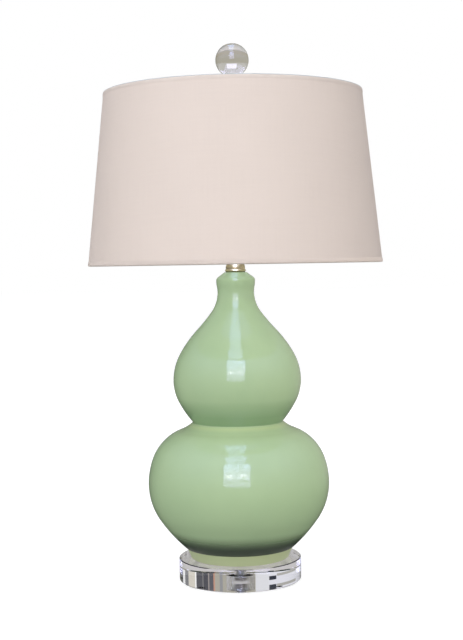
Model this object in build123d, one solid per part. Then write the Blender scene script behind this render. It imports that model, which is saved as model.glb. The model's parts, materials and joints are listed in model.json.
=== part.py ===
from build123d import *
import math
import os

# A double gourd table lamp, one STEP file for each piece.
# Millimetres, +Z up, the front looks along -Y, and the origin is on the table under the lamp's axis.
# An outline is drawn as (radius, height) and turned about the axis.

# ---------------------------------------------------------------- fits
THREAD_FIT = 0.05        # radial, between two threads, which are drawn as plain cylinders
TURN_FIT = 0.1           # radial, a pin or a spindle in its hole
PIPE_FIT = 0.5           # radial, the lamp pipe in the holes that it only passes through
REST_GAP = 0.1           # under a piece that lifts off
RUN_GAP = 0.3            # between two pieces that turn past each other
GLUE_GAP = 0.05          # between the layers of the shade, and under the ball

# ---------------------------------------------------------------- base
BUMPER_R = 5.0
BUMPER_T = 2.0
BUMPER_INSET = 17.0      # from the disc's edge to a bumper's centre
BUMPER_COUNT = 4
BUMPER_EDGE = 0.8
DISC_R = 85.0
DISC_T = 31.0
DISC_EDGE = 1.0
COUNTERBORE_R = 13.0
COUNTERBORE_DEPTH = 10.0

# ---------------------------------------------------------------- lamp pipe and its nuts
PIPE_R = 5.0
PIPE_WALL = 1.6
PIPE_TAIL = 1.0          # below the bottom nut
PIPE_HEAD = 8.0          # inside the socket cap
SLOT_W = 6.0             # the wires' way into the pipe
SLOT_H = 26.0
SLOT_LIFT = 18.0         # above the gourd's floor
WASHER_R = 11.0
WASHER_T = 1.2
STAR_R = 7.6
STAR_TOOTH = 1.5
STAR_TEETH = 10
STAR_T = 1.2
NUT_FLATS = 14.3
BOTTOM_NUT_T = 5.0
LOCKNUT_T = 3.0
NUT_CHAMFER = 0.8

# ---------------------------------------------------------------- gourd, each rise from the section below
WALL = 6.0
FOOT_R = 67.8
FOOT_TOP_R = 74.6
FOOT_H = 15.0
FOOT_LEDGE = 1.7         # the body stands proud of the foot
FOOT_RING_W = 9.0
FOOT_RECESS = 1.5
FLOOR_T = 4.0
UNDERSIDE_SLOPE = 41.8   # slopes of the outline in degrees, 90 is upright
BELLY_R = 125.9
BELLY_RISE = 89.0        # above the foot band
SHOULDER_R = 100.5
SHOULDER_RISE = 62.5
SHOULDER_SLOPE = 139.2
WAIST_R = 62.6
WAIST_RISE = 23.0
WAIST_SLOPE_BELOW = 138.0
WAIST_SLOPE_ABOVE = 50.3
BULB_R = 88.8
BULB_RISE = 57.5
SLOPE_R = 54.8           # the upper bulb's crown, where it turns into the neck
SLOPE_RISE = 70.8
SLOPE_ANGLE = 133.3
NECK_R = 25.4
NECK_RISE = 52.2
LIP_R = 27.0
LIP_RISE = 15.5
CONE_R = 24.4
CONE_RISE = 5.1
CONE_ANGLE = 143.0
CROWN_R = 15.4
CROWN_RISE = 6.6
CROWN_T = 9.0

# ---------------------------------------------------------------- way out of the cord
OUTLET_Z = 8.6           # above the gourd's foot
GROMMET_R = 3.9
GROMMET_BORE_R = 2.8
GROMMET_FIT = 0.05
GROMMET_FLANGE_R = 5.4
GROMMET_FLANGE_T = 1.2
GROMMET_TAIL = 1.5       # inside the wall

# ---------------------------------------------------------------- brass neck, heights from its seat
GASKET_T = 0.8
GASKET_INSET = 1.2
BEAD_R = 14.65
BEAD_H = 2.6
GROOVE_R = 12.9
GROOVE_H = 1.6
RING_R = 13.45
RING_H = 3.6
BELL_SLOPE = 101.3       # of the outline where the bell leaves the ring, 90 is upright
BELL_TOP_R = 8.8
BELL_H = 4.8
STEM_R = 7.0
STEM_H = 7.4
COLLAR_R = 9.6
COLLAR_H = 4.0
COLLAR_EDGE = 0.8

# ---------------------------------------------------------------- harp and its saddle
SADDLE_W = 12.0
SADDLE_T = 1.5
SADDLE_BEND_R = 7.0      # on the strip's middle
LEG_X = 34.0
WIRE_R = 1.9
CUP_WALL = 0.7
CUP_H = 9.0
CUP_FLOOR_T = 1.2
CUP_FLOOR_LIFT = 11.0    # top of the cup's floor above the saddle's seat on the neck
SLEEVE_WALL = 0.6
SLEEVE_H = 14.0
SLEEVE_TOP_R = 2.9
SLEEVE_TRAVEL = 12.0
HARP_H = 203.2           # from the legs' ends to the shade's seat
HARP_HALF_W = 57.0
HARP_FLARE = 35.0        # degrees that the legs lean out
HARP_CROWN = 45.0        # degrees that the long upper arcs turn
HARP_TOP_HALF = 8.0      # the level stretch at the top
EYE_R = 6.0
EYE_H = 7.0

# ---------------------------------------------------------------- swivel
PIN_R = 2.6
PIN_HEAD_R = 4.2
PIN_HEAD_T = 1.2
SEAT_R = 10.0
SEAT_T = 1.6
STUD_R = 3.1
STUD_H = 13.0

# ---------------------------------------------------------------- socket, heights from the cap's foot
HUB_R = 7.4
HUB_H = 8.0
CAP_R = 17.3
CAP_WALL = 0.6
CAP_DOME_H = 15.0
CAP_H = 22.0
SHELL_T = 0.5
SHELL_LOW = 16.5
SHELL_TOP = 61.0
SHELL_RIM = 0.9
SLEEVE_FIT = 0.1         # radial, between the nested shells
FIBRE_T = 0.5
FIBRE_SHORT = 1.5        # the fibre ends this much below the shell's rim
CORE_LOW = 18.5
CORE_TOP = 33.0
CORE_FLAT = 11.5         # from the axis to the flats that carry the terminals
CORE_FLAT_H = 10.5
SCREW_SHELL_H = 23.0
SCREW_SHELL_T = 0.4
SCREW_SHELL_FLANGE = 1.2
CONTACT_W = 5.0
CONTACT_L = 13.0
CONTACT_T = 0.5
CONTACT_RISE = 1.1
TERMINAL_R = 1.5
TERMINAL_HEAD_R = 3.1
TERMINAL_HEAD_T = 2.2
TERMINAL_DEPTH = 5.0
TERMINAL_Z = 23.5
SET_SCREW_R = 1.6
SET_SCREW_HEAD_R = 2.7
SET_SCREW_HEAD_T = 1.8
SET_SCREW_Z = 4.0
DRIVER_SLOT = 0.8        # width and depth of a screwdriver's slot

# ---------------------------------------------------------------- switch
SPINDLE_R = 1.6
SPINDLE_Z = 26.5
SPINDLE_ROOT = 7.0       # from the lamp's axis to the spindle's inner end
NECK_BUSH_R = 3.6
NECK_BUSH_L = 3.0
KNOB_R = 6.5
KNOB_WAIST_R = 4.2
KNOB_L = 13.0
KNOB_GAP = 1.5
KNOB_FLUTES = 12
KNOB_FLUTE_R = 0.9

# ---------------------------------------------------------------- light bulb, heights from its tip
TIP_R = 4.6
TIP_H = 1.4
TIP_GAP = 0.3            # over the centre contact
BASE_CONE_R = 9.5
BASE_CONE_H = 4.2
BASE_R = 13.1
BASE_H = 26.5
GLASS_T = 0.9
GLASS_NECK_R = 12.4
GLASS_R = 29.5
GLASS_Z = 80.0           # the widest place
GLASS_TUCK = 4.0         # the glass reaches this far into the base
BULB_LENGTH = 110.0

# ---------------------------------------------------------------- shade
SHADE_BOTTOM_R = 203.2
SHADE_TOP_R = 177.8
SHADE_H = 236.5
FABRIC_T = 0.6
LINER_T = 0.8
RING_WIRE_R = 1.5
TRIM_T = 0.5
TRIM_H = 6.0
SPIDER_DROP = 7.5        # from the shade's top edge to the top of the spider's washer
SPIDER_WASHER_R = 15.0
SPIDER_WASHER_T = 1.6
SPIDER_HOLE_R = 5.3
SPIDER_ARMS = 3

# ---------------------------------------------------------------- finial
BALL_R = 23.0
FINIAL_H = 28.3          # from the spider's washer to the ball's lowest point
FINIAL_FOOT_R = 9.0
FINIAL_FOOT_H = 3.0
FINIAL_NECK_R = 4.9
FINIAL_NECK_Z = 14.0
FINIAL_CUP_R = 10.5
FINIAL_CUP_EDGE = 1.6

# ---------------------------------------------------------------- levels, from the bottom up
DISC_LOW = BUMPER_T
DISC_TOP = DISC_LOW + DISC_T
COUNTERBORE_TOP = DISC_LOW + COUNTERBORE_DEPTH
WASHER_LOW = COUNTERBORE_TOP - WASHER_T
STAR_LOW = WASHER_LOW - STAR_T
NUT_LOW = STAR_LOW - BOTTOM_NUT_T
PIPE_LOW = NUT_LOW - PIPE_TAIL
GOURD_LOW = DISC_TOP
FLOOR_TOP = FOOT_RECESS + FLOOR_T                # this and the gourd's next levels are from its foot
BELLY_Z = FOOT_H + BELLY_RISE
SHOULDER_Z = BELLY_Z + SHOULDER_RISE
WAIST_Z = SHOULDER_Z + WAIST_RISE
BULB_Z = WAIST_Z + BULB_RISE
SLOPE_Z = BULB_Z + SLOPE_RISE
NECK_Z = SLOPE_Z + NECK_RISE
LIP_Z = NECK_Z + LIP_RISE
CONE_Z = LIP_Z + CONE_RISE
CROWN_Z = CONE_Z + CROWN_RISE
GASKET_LOW = GOURD_LOW + CROWN_Z
NECK_LOW = GASKET_LOW + GASKET_T
NECK_H = BEAD_H + GROOVE_H + RING_H + BELL_H + STEM_H + COLLAR_H
SADDLE_LOW = NECK_LOW + NECK_H
CUP_FLOOR_TOP = SADDLE_LOW + CUP_FLOOR_LIFT
LOCKNUT_LOW = SADDLE_LOW + SADDLE_T
CAP_LOW = LOCKNUT_LOW + LOCKNUT_T
PIPE_TOP = CAP_LOW + PIPE_HEAD
LEG_LOW = CUP_FLOOR_TOP + REST_GAP
SEAT_TOP = LEG_LOW + HARP_H
SEAT_LOW = SEAT_TOP - SEAT_T
EYE_TOP = SEAT_LOW - RUN_GAP
EYE_Z = EYE_TOP - EYE_H / 2
CONTACT_LOW = CAP_LOW + CORE_TOP
TIP_LOW = CONTACT_LOW + CONTACT_T + CONTACT_RISE + TIP_GAP
SPIDER_LOW = SEAT_TOP + REST_GAP
SPIDER_TOP = SPIDER_LOW + SPIDER_WASHER_T
SHADE_TOP = SPIDER_TOP + SPIDER_DROP
SHADE_LOW = SHADE_TOP - SHADE_H
FINIAL_LOW = SPIDER_TOP + REST_GAP
BALL_Z = FINIAL_LOW + FINIAL_H + BALL_R

# ---------------------------------------------------------------- radii that fit one another
PIPE_HOLE_R = PIPE_R + PIPE_FIT
THREAD_R = PIPE_R + THREAD_FIT
CUP_R = WIRE_R + RUN_GAP
SLEEVE_BORE_R = CUP_R + CUP_WALL + RUN_GAP
SLEEVE_R = SLEEVE_BORE_R + SLEEVE_WALL
SHELL_R = CAP_R - CAP_WALL - SLEEVE_FIT
FIBRE_R = SHELL_R - SHELL_T - SLEEVE_FIT
CORE_R = FIBRE_R - FIBRE_T - SLEEVE_FIT
SCREW_SHELL_R = BASE_R + TURN_FIT


# ---------------------------------------------------------------- ways of making
def outline(*points):
    """A closed outline of straight lines through (radius, height) points."""
    return Polyline(*points, close=True)


def turned(edges):
    """Turn a closed outline about the lamp's axis."""
    return revolve(Plane.XZ * make_face(edges), Axis.Z)


def ring(inner_r, outer_r, low, high):
    """A plain ring or tube on the lamp's axis."""
    return turned(outline((inner_r, low), (outer_r, low), (outer_r, high), (inner_r, high)))


def rod(radius, start, end):
    """A round rod between two points."""
    along = Vector(*end) - Vector(*start)
    return extrude(Plane(origin=start, z_dir=along) * Circle(radius), along.length)


def heading(slope):
    """The direction of an outline that climbs at this slope."""
    return Vector(math.cos(math.radians(slope)), math.sin(math.radians(slope)))


def biarc(start, end):
    """Two arcs that join smoothly, between two (radius, height, slope) stations."""
    p, q = Vector(*start[:2]), Vector(*end[:2])
    t, u = heading(start[2]), heading(end[2])
    chord = q - p
    square = 2 * (1 - t.dot(u))
    linear = 2 * chord.dot(t + u)
    if abs(square) < 1e-9:
        reach = chord.dot(chord) / linear
    else:
        root = math.sqrt(linear * linear + 4 * square * chord.dot(chord))
        reach = (root - linear) / (2 * square)
    middle = (p + q + (t - u) * reach) * 0.5
    first = TangentArc(p, middle, tangent=t)
    return [first, TangentArc(middle, q, tangent=first % 1)]


def inset(station, depth):
    """The same station on the inside of a wall of this thickness."""
    radius, height, slope = station
    outward = heading(slope - 90)
    return (radius - depth * outward.X, height - depth * outward.Y, slope)


def smooth(stations):
    """A smooth curve through a list of stations."""
    return [arc for pair in zip(stations, stations[1:]) for arc in biarc(*pair)]


def hex_nut(low, height):
    """A hexagon nut on the lamp pipe, with its corners taken off above and below."""
    flats = NUT_FLATS / 2
    corners = flats / math.cos(math.pi / 6)
    blank = Pos(0, 0, low) * extrude(RegularPolygon(flats, 6, major_radius=False), height)
    envelope = turned(outline(
        (0, low), (flats, low), (corners, low + NUT_CHAMFER),
        (corners, low + height - NUT_CHAMFER), (flats, low + height), (0, low + height),
    ))
    return (blank & envelope) - ring(0, THREAD_R, low - 1, low + height + 1)


def slotted_screw(shank_r, shank_l, head_r, head_t):
    """A screw along +Z, with the underside of its head at the origin and its shank below."""
    screw = rod(shank_r, (0, 0, -shank_l), (0, 0, 0)) + rod(head_r, (0, 0, 0), (0, 0, head_t))
    groove = Pos(0, 0, head_t) * Box(3 * head_r, DRIVER_SLOT, 2 * DRIVER_SLOT)
    return screw - groove


# ---------------------------------------------------------------- base
def base_bumpers():
    blank = turned(outline(
        (0, 0), (BUMPER_R - BUMPER_EDGE, 0), (BUMPER_R, BUMPER_EDGE), (BUMPER_R, BUMPER_T), (0, BUMPER_T),
    ))
    places = PolarLocations(DISC_R - BUMPER_INSET, BUMPER_COUNT, start_angle=180 / BUMPER_COUNT)
    return Compound(children=[place * blank for place in places])


def base_disc():
    low, top, edge = DISC_LOW, DISC_TOP, DISC_R - DISC_EDGE
    return turned(outline(
        (PIPE_HOLE_R, top), (PIPE_HOLE_R, COUNTERBORE_TOP), (COUNTERBORE_R, COUNTERBORE_TOP),
        (COUNTERBORE_R, low), (edge, low), (DISC_R, low + DISC_EDGE), (DISC_R, top - DISC_EDGE), (edge, top),
    ))


def bottom_washer():
    return ring(PIPE_HOLE_R, WASHER_R, WASHER_LOW, COUNTERBORE_TOP)


def bottom_star_washer():
    body = Circle(STAR_R)
    tooth_w = math.pi * STAR_R / STAR_TEETH
    for place in PolarLocations(STAR_R, STAR_TEETH):
        body += place * Rectangle(2 * STAR_TOOTH, tooth_w)
    body -= Circle(THREAD_R)
    return Pos(0, 0, STAR_LOW) * extrude(body, STAR_T)


def lamp_pipe():
    bore_r = PIPE_R - PIPE_WALL
    tube = ring(bore_r, PIPE_R, PIPE_LOW, PIPE_TOP)
    slot_z = GOURD_LOW + FLOOR_TOP + SLOT_LIFT + SLOT_H / 2
    slot = Plane(origin=(0, 0, slot_z), x_dir=(0, 0, 1), z_dir=(0, 1, 0)) * SlotOverall(SLOT_H, SLOT_W)
    return tube - extrude(slot, 2 * PIPE_R)


# ---------------------------------------------------------------- gourd
def foot_radius(height):
    """The foot band's radius at a height above the foot."""
    return FOOT_R + (FOOT_TOP_R - FOOT_R) * height / FOOT_H


def foot_lean():
    """How far the foot band leans out of upright, in radians."""
    return math.atan2(FOOT_TOP_R - FOOT_R, FOOT_H)


UNDERSIDE = (FOOT_TOP_R + FOOT_LEDGE, FOOT_H, UNDERSIDE_SLOPE)
BELLY = (BELLY_R, BELLY_Z, 90)
SHOULDER = (SHOULDER_R, SHOULDER_Z, SHOULDER_SLOPE)
WAIST_BELOW = (WAIST_R, WAIST_Z, WAIST_SLOPE_BELOW)
WAIST_ABOVE = (WAIST_R, WAIST_Z, WAIST_SLOPE_ABOVE)
UPPER_BULB = (BULB_R, BULB_Z, 90)
SLOPE = (SLOPE_R, SLOPE_Z, SLOPE_ANGLE)
NECK = (NECK_R, NECK_Z, 90)
LIP = (LIP_R, LIP_Z, 90)
CONE = (CONE_R, CONE_Z, CONE_ANGLE)
LOWER_LOBE = [UNDERSIDE, BELLY, SHOULDER, WAIST_BELOW]
UPPER_LOBE = [WAIST_ABOVE, UPPER_BULB, SLOPE, NECK, LIP]


def gourd_outside():
    """The glazed outside, closed along the axis, with the recess inside the foot ring."""
    recess_r = FOOT_R - FOOT_RING_W
    edges = [
        Line((0, FOOT_RECESS), (recess_r, FOOT_RECESS)),
        Line((recess_r, FOOT_RECESS), (recess_r, 0)),
        Line((recess_r, 0), (FOOT_R, 0)),
        Line((FOOT_R, 0), (FOOT_TOP_R, FOOT_H)),
        Line((FOOT_TOP_R, FOOT_H), UNDERSIDE[:2]),
    ]
    edges += smooth(LOWER_LOBE) + smooth(UPPER_LOBE) + biarc(LIP, CONE)
    edges += [
        Line(CONE[:2], (CROWN_R, CROWN_Z)),
        Line((CROWN_R, CROWN_Z), (0, CROWN_Z)),
        Line((0, CROWN_Z), (0, FOOT_RECESS)),
    ]
    return turned(edges)


def gourd_hollow():
    """The space inside the wall, closed along the axis."""
    lower = [inset(station, WALL) for station in LOWER_LOBE]
    upper = [inset(station, WALL) for station in UPPER_LOBE]
    corner_r = foot_radius(FLOOR_TOP) - WALL / math.cos(foot_lean())
    ceiling = CROWN_Z - CROWN_T
    edges = [
        Line((0, FLOOR_TOP), (corner_r, FLOOR_TOP)),
        Line((corner_r, FLOOR_TOP), lower[0][:2]),
    ]
    edges += smooth(lower)
    edges.append(Line(lower[-1][:2], upper[0][:2]))
    edges += smooth(upper)
    edges += [
        Line(upper[-1][:2], (upper[-1][0], ceiling)),
        Line((upper[-1][0], ceiling), (0, ceiling)),
        Line((0, ceiling), (0, FLOOR_TOP)),
    ]
    return turned(edges)


def outlet_plane():
    """Square to the foot band at the back, with its origin on the glaze and +Z outwards."""
    lean = foot_lean()
    place = (0, foot_radius(OUTLET_Z), GOURD_LOW + OUTLET_Z)
    return Plane(origin=place, x_dir=(1, 0, 0), z_dir=(0, math.cos(lean), -math.sin(lean)))


def gourd_body():
    pipe_hole = ring(0, PIPE_HOLE_R, -1, CROWN_Z + 1)
    body = Pos(0, 0, GOURD_LOW) * (gourd_outside() - gourd_hollow() - pipe_hole)
    outlet = Cylinder(GROMMET_R + GROMMET_FIT, 4 * WALL)
    return body - outlet_plane() * outlet


def cord_grommet():
    tail = -WALL - GROMMET_TAIL
    seat, top = GLUE_GAP, GLUE_GAP + GROMMET_FLANGE_T
    bush = turned(outline(
        (GROMMET_BORE_R, tail), (GROMMET_R, tail), (GROMMET_R, seat),
        (GROMMET_FLANGE_R, seat), (GROMMET_FLANGE_R, top), (GROMMET_BORE_R, top),
    ))
    return outlet_plane() * bush


# ---------------------------------------------------------------- neck
def neck_gasket():
    return ring(PIPE_HOLE_R, BEAD_R - GASKET_INSET, GASKET_LOW, NECK_LOW)


def brass_neck():
    groove_low = NECK_LOW + BEAD_H
    ring_low = groove_low + GROOVE_H
    bell_low = ring_low + RING_H
    stem_low = bell_low + BELL_H
    collar_low = stem_low + STEM_H
    top = collar_low + COLLAR_H
    bead_root = BEAD_R - BEAD_H / 2
    ring_root = GROOVE_R + (RING_R - GROOVE_R) / 2
    edges = [
        Line((PIPE_HOLE_R, NECK_LOW), (bead_root, NECK_LOW)),
        ThreePointArc((bead_root, NECK_LOW), (BEAD_R, NECK_LOW + BEAD_H / 2), (bead_root, groove_low)),
        Line((bead_root, groove_low), (GROOVE_R, groove_low)),
        Line((GROOVE_R, groove_low), (GROOVE_R, ring_low)),
        Line((GROOVE_R, ring_low), (ring_root, ring_low)),
        ThreePointArc((ring_root, ring_low), (RING_R, ring_low + RING_H / 2), (ring_root, bell_low)),
        TangentArc((ring_root, bell_low), (BELL_TOP_R, stem_low), tangent=heading(BELL_SLOPE)),
        ThreePointArc(
            (BELL_TOP_R, stem_low), (STEM_R, stem_low + STEM_H / 2), (BELL_TOP_R, collar_low),
        ),
        Line((BELL_TOP_R, collar_low), (COLLAR_R, collar_low)),
        Line((COLLAR_R, collar_low), (COLLAR_R, top - COLLAR_EDGE)),
        Line((COLLAR_R, top - COLLAR_EDGE), (COLLAR_R - COLLAR_EDGE, top)),
        Line((COLLAR_R - COLLAR_EDGE, top), (PIPE_HOLE_R, top)),
        Line((PIPE_HOLE_R, top), (PIPE_HOLE_R, NECK_LOW)),
    ]
    return turned(edges)


# ---------------------------------------------------------------- saddle and harp
def saddle_strip():
    """The bent strip, drawn along its middle in the XZ plane."""
    level = SADDLE_LOW + SADDLE_T / 2
    bend_end = level + SADDLE_BEND_R
    top = CUP_FLOOR_TOP - CUP_FLOOR_T / 2
    inner_x = LEG_X - SADDLE_BEND_R
    path = [
        Line((-LEG_X, top), (-LEG_X, bend_end)),
        TangentArc((-LEG_X, bend_end), (-inner_x, level), tangent=(0, -1)),
        Line((-inner_x, level), (inner_x, level)),
        TangentArc((inner_x, level), (LEG_X, bend_end), tangent=(1, 0)),
        Line((LEG_X, bend_end), (LEG_X, top)),
    ]
    section = Plane.XZ * trace(path, SADDLE_T)
    return extrude(section, SADDLE_W / 2, both=True)


def saddle_cup(side):
    """The half round cup at the end of one arm, open towards the lamp's axis."""
    x = side * LEG_X
    outer_r = CUP_R + CUP_WALL
    floor_low = CUP_FLOOR_TOP - CUP_FLOOR_T
    floor = rod(SLEEVE_R, (x, 0, floor_low), (x, 0, CUP_FLOOR_TOP))
    wall = rod(outer_r, (x, 0, floor_low), (x, 0, CUP_FLOOR_TOP + CUP_H))
    wall -= rod(CUP_R, (x, 0, CUP_FLOOR_TOP), (x, 0, CUP_FLOOR_TOP + 2 * CUP_H))
    opening = Box(2 * outer_r, 4 * outer_r, 2 * CUP_H, align=(Align.CENTER, Align.CENTER, Align.MIN))
    return floor + (wall - Pos(x - side * outer_r, 0, CUP_FLOOR_TOP) * opening)


def harp_saddle():
    """The strip, with its arms narrowed above the bends to the sleeves' width, and its two cups."""
    strip = saddle_strip()
    arms = Box(2 * (LEG_X + SADDLE_T), SADDLE_W, CUP_FLOOR_LIFT)
    narrow = Box(2 * (LEG_X + SADDLE_T), 2 * SLEEVE_R, CUP_FLOOR_LIFT)
    strip -= Pos(0, 0, SADDLE_LOW + SADDLE_BEND_R + CUP_FLOOR_LIFT / 2) * (arms - narrow)
    strip -= ring(0, PIPE_HOLE_R, SADDLE_LOW - 1, SADDLE_LOW + SADDLE_T + 1)
    return strip + saddle_cup(-1) + saddle_cup(1)


def harp_leg(side):
    """One half of the harp's wire, from its lower end to the middle of the top."""
    straight = SLEEVE_H + SLEEVE_TRAVEL
    flare, crown = math.radians(HARP_FLARE), math.radians(HARP_CROWN)
    flare_r = (HARP_HALF_W - LEG_X) / (2 * (1 - math.cos(flare)))
    widest_z = LEG_LOW + straight + 2 * flare_r * math.sin(flare)
    rise, run = EYE_Z - widest_z, HARP_HALF_W - HARP_TOP_HALF
    # a long arc of one radius and a tight one of another have to span the rise and the run together
    tight_share = (1 - math.sin(crown)) / math.cos(crown)
    long_r = (rise - run * tight_share) / (math.sin(crown) - (1 - math.cos(crown)) * tight_share)
    tight_r = (run - long_r * (1 - math.cos(crown))) / math.cos(crown)
    bend_x = LEG_X + flare_r * (1 - math.cos(flare))
    bend_z = LEG_LOW + straight + flare_r * math.sin(flare)
    arc_x = HARP_HALF_W - long_r * (1 - math.cos(crown))
    arc_z = widest_z + long_r * math.sin(crown)
    knee = (side * LEG_X, LEG_LOW + straight)
    points = [(side * bend_x, bend_z), (side * HARP_HALF_W, widest_z), (side * arc_x, arc_z),
              (side * HARP_TOP_HALF, arc_z + tight_r * (1 - math.sin(crown)))]
    edges = [Line((side * LEG_X, LEG_LOW), knee)]
    for point in points:
        edges.append(TangentArc(edges[-1] @ 1, point, tangent=edges[-1] % 1))
    edges.append(Line(edges[-1] @ 1, (0, EYE_Z)))
    wire = Plane.XZ * Curve(edges)
    start = Plane(origin=(side * LEG_X, 0, LEG_LOW), z_dir=(0, 0, 1))
    return sweep(start * Circle(WIRE_R), path=wire)


def harp_bow():
    low, high = EYE_Z - EYE_H / 2, EYE_Z + EYE_H / 2
    wire = harp_leg(-1) + harp_leg(1) + ring(0, EYE_R, low, high)
    return wire - ring(0, PIN_R + TURN_FIT, low - 1, high + 1)


def harp_sleeve(side):
    low = CUP_FLOOR_TOP + REST_GAP
    shoulder = CUP_FLOOR_TOP + CUP_H + RUN_GAP
    top = low + SLEEVE_H
    grip_r = WIRE_R + TURN_FIT
    sleeve = turned(outline(
        (SLEEVE_BORE_R, low), (SLEEVE_R, low), (SLEEVE_R, shoulder), (SLEEVE_TOP_R, top),
        (grip_r, top), (grip_r, shoulder + SLEEVE_WALL), (SLEEVE_BORE_R, shoulder),
    ))
    return Pos(side * LEG_X, 0, 0) * sleeve


def harp_swivel():
    head_top = EYE_Z - EYE_H / 2 - RUN_GAP
    head_low = head_top - PIN_HEAD_T
    stud_top = SEAT_TOP + STUD_H
    return turned(outline(
        (0, head_low), (PIN_HEAD_R, head_low), (PIN_HEAD_R, head_top), (PIN_R, head_top),
        (PIN_R, SEAT_LOW), (SEAT_R, SEAT_LOW), (SEAT_R, SEAT_TOP), (STUD_R, SEAT_TOP),
        (STUD_R, stud_top), (0, stud_top),
    ))


# ---------------------------------------------------------------- socket
def spindle_hole(radius):
    """A hole from the lamp's axis out to the front, for the switch's spindle or its bush."""
    level = CAP_LOW + SPINDLE_Z
    return rod(radius, (0, 0, level), (0, -2 * CAP_R, level))


def set_screw_place():
    """Where the set screw's head meets the hub, with +Z out to the right."""
    return Plane(origin=(HUB_R, 0, CAP_LOW + SET_SCREW_Z), x_dir=(0, 0, 1), z_dir=(1, 0, 0))


def socket_cap():
    dome_low, dome_top, top = CAP_LOW + HUB_H, CAP_LOW + CAP_DOME_H, CAP_LOW + CAP_H
    inner_r = CAP_R - CAP_WALL
    edges = [
        Line((THREAD_R, CAP_LOW), (HUB_R, CAP_LOW)),
        Line((HUB_R, CAP_LOW), (HUB_R, dome_low)),
        TangentArc((HUB_R, dome_low), (CAP_R, dome_top), tangent=(1, 0)),
        Line((CAP_R, dome_top), (CAP_R, top)),
        Line((CAP_R, top), (inner_r, top)),
        Line((inner_r, top), (inner_r, dome_top)),
        TangentArc((inner_r, dome_top), (HUB_R, dome_low + CAP_WALL), tangent=(0, -1)),
        Line((HUB_R, dome_low + CAP_WALL), (THREAD_R, dome_low + CAP_WALL)),
        Line((THREAD_R, dome_low + CAP_WALL), (THREAD_R, CAP_LOW)),
    ]
    screw_hole = set_screw_place() * Cylinder(SET_SCREW_R + THREAD_FIT, 2 * (HUB_R - PIPE_R))
    return turned(edges) - screw_hole


def cap_set_screw():
    shank = HUB_R - PIPE_R - THREAD_FIT
    screw = slotted_screw(SET_SCREW_R, shank, SET_SCREW_HEAD_R, SET_SCREW_HEAD_T)
    return set_screw_place() * screw


def socket_shell():
    low, top = CAP_LOW + SHELL_LOW, CAP_LOW + SHELL_TOP
    inner_r = SHELL_R - SHELL_T
    tube = turned(outline(
        (inner_r, low), (SHELL_R, low), (SHELL_R, top - 2 * SHELL_RIM),
        (SHELL_R + SHELL_RIM, top - SHELL_RIM), (SHELL_R + SHELL_RIM, top), (inner_r, top),
    ))
    return tube - spindle_hole(NECK_BUSH_R + TURN_FIT)


def socket_fibre():
    inner_r = FIBRE_R - FIBRE_T
    tube = ring(inner_r, FIBRE_R, CAP_LOW + CORE_LOW, CAP_LOW + SHELL_TOP - FIBRE_SHORT)
    return tube - spindle_hole(NECK_BUSH_R + TURN_FIT)


def terminal_place(side):
    """Where a terminal screw's head meets the core's flat, with +Z outwards."""
    return Plane(origin=(side * CORE_FLAT, 0, CAP_LOW + TERMINAL_Z), x_dir=(0, 0, 1), z_dir=(side, 0, 0))


def socket_core():
    low, top = CAP_LOW + CORE_LOW, CAP_LOW + CORE_TOP
    core = ring(0, CORE_R, low, top)
    flat = Box(CORE_R, 2 * CORE_R, CORE_FLAT_H, align=(Align.MIN, Align.CENTER, Align.MIN))
    for side in (-1, 1):
        shift = CORE_FLAT if side > 0 else -CORE_FLAT - CORE_R
        core -= Pos(shift, 0, low) * flat
        core -= terminal_place(side) * Cylinder(TERMINAL_R + THREAD_FIT, 2 * TERMINAL_DEPTH)
    well = rod(SPINDLE_R + TURN_FIT, (0, -SPINDLE_ROOT + RUN_GAP, CAP_LOW + SPINDLE_Z),
               (0, -2 * CORE_R, CAP_LOW + SPINDLE_Z))
    return core - well


def terminal_screws():
    shank = TERMINAL_DEPTH - RUN_GAP
    screw = slotted_screw(TERMINAL_R, shank, TERMINAL_HEAD_R, TERMINAL_HEAD_T)
    return Compound(children=[terminal_place(side) * screw for side in (-1, 1)])


def switch_bush():
    """The threaded bush that holds the switch in the shell, round the spindle."""
    level = CAP_LOW + SPINDLE_Z
    inner, outer = CORE_R + RUN_GAP, SHELL_R + NECK_BUSH_L
    bush = rod(NECK_BUSH_R, (0, -inner, level), (0, -outer, level))
    return bush - spindle_hole(SPINDLE_R + TURN_FIT)


def screw_shell():
    low = CAP_LOW + CORE_TOP
    outer_r = SCREW_SHELL_R + SCREW_SHELL_T
    tube = ring(SCREW_SHELL_R, outer_r, low, low + SCREW_SHELL_H)
    return tube + ring(SCREW_SHELL_R, outer_r + SCREW_SHELL_FLANGE, low, low + SCREW_SHELL_T)


def centre_contact():
    """A brass tongue, riveted flat at one end and raised under the bulb's tip."""
    low = CONTACT_LOW
    high = low + CONTACT_RISE
    near, far = CONTACT_L / 2, CONTACT_L / 6
    profile = outline(
        (-near, low), (-far, low), (0, high), (far, high), (far, high + CONTACT_T),
        (0, high + CONTACT_T), (-far, low + CONTACT_T), (-near, low + CONTACT_T),
    )
    return extrude(Plane.XZ * make_face(profile), CONTACT_W / 2, both=True)


# ---------------------------------------------------------------- switch
def knob_start():
    """How far from the lamp's axis the knob begins."""
    return SHELL_R + NECK_BUSH_L + KNOB_GAP


def switch_spindle():
    level = CAP_LOW + SPINDLE_Z
    return rod(SPINDLE_R, (0, -SPINDLE_ROOT, level), (0, -knob_start() - KNOB_L / 2, level))


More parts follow.
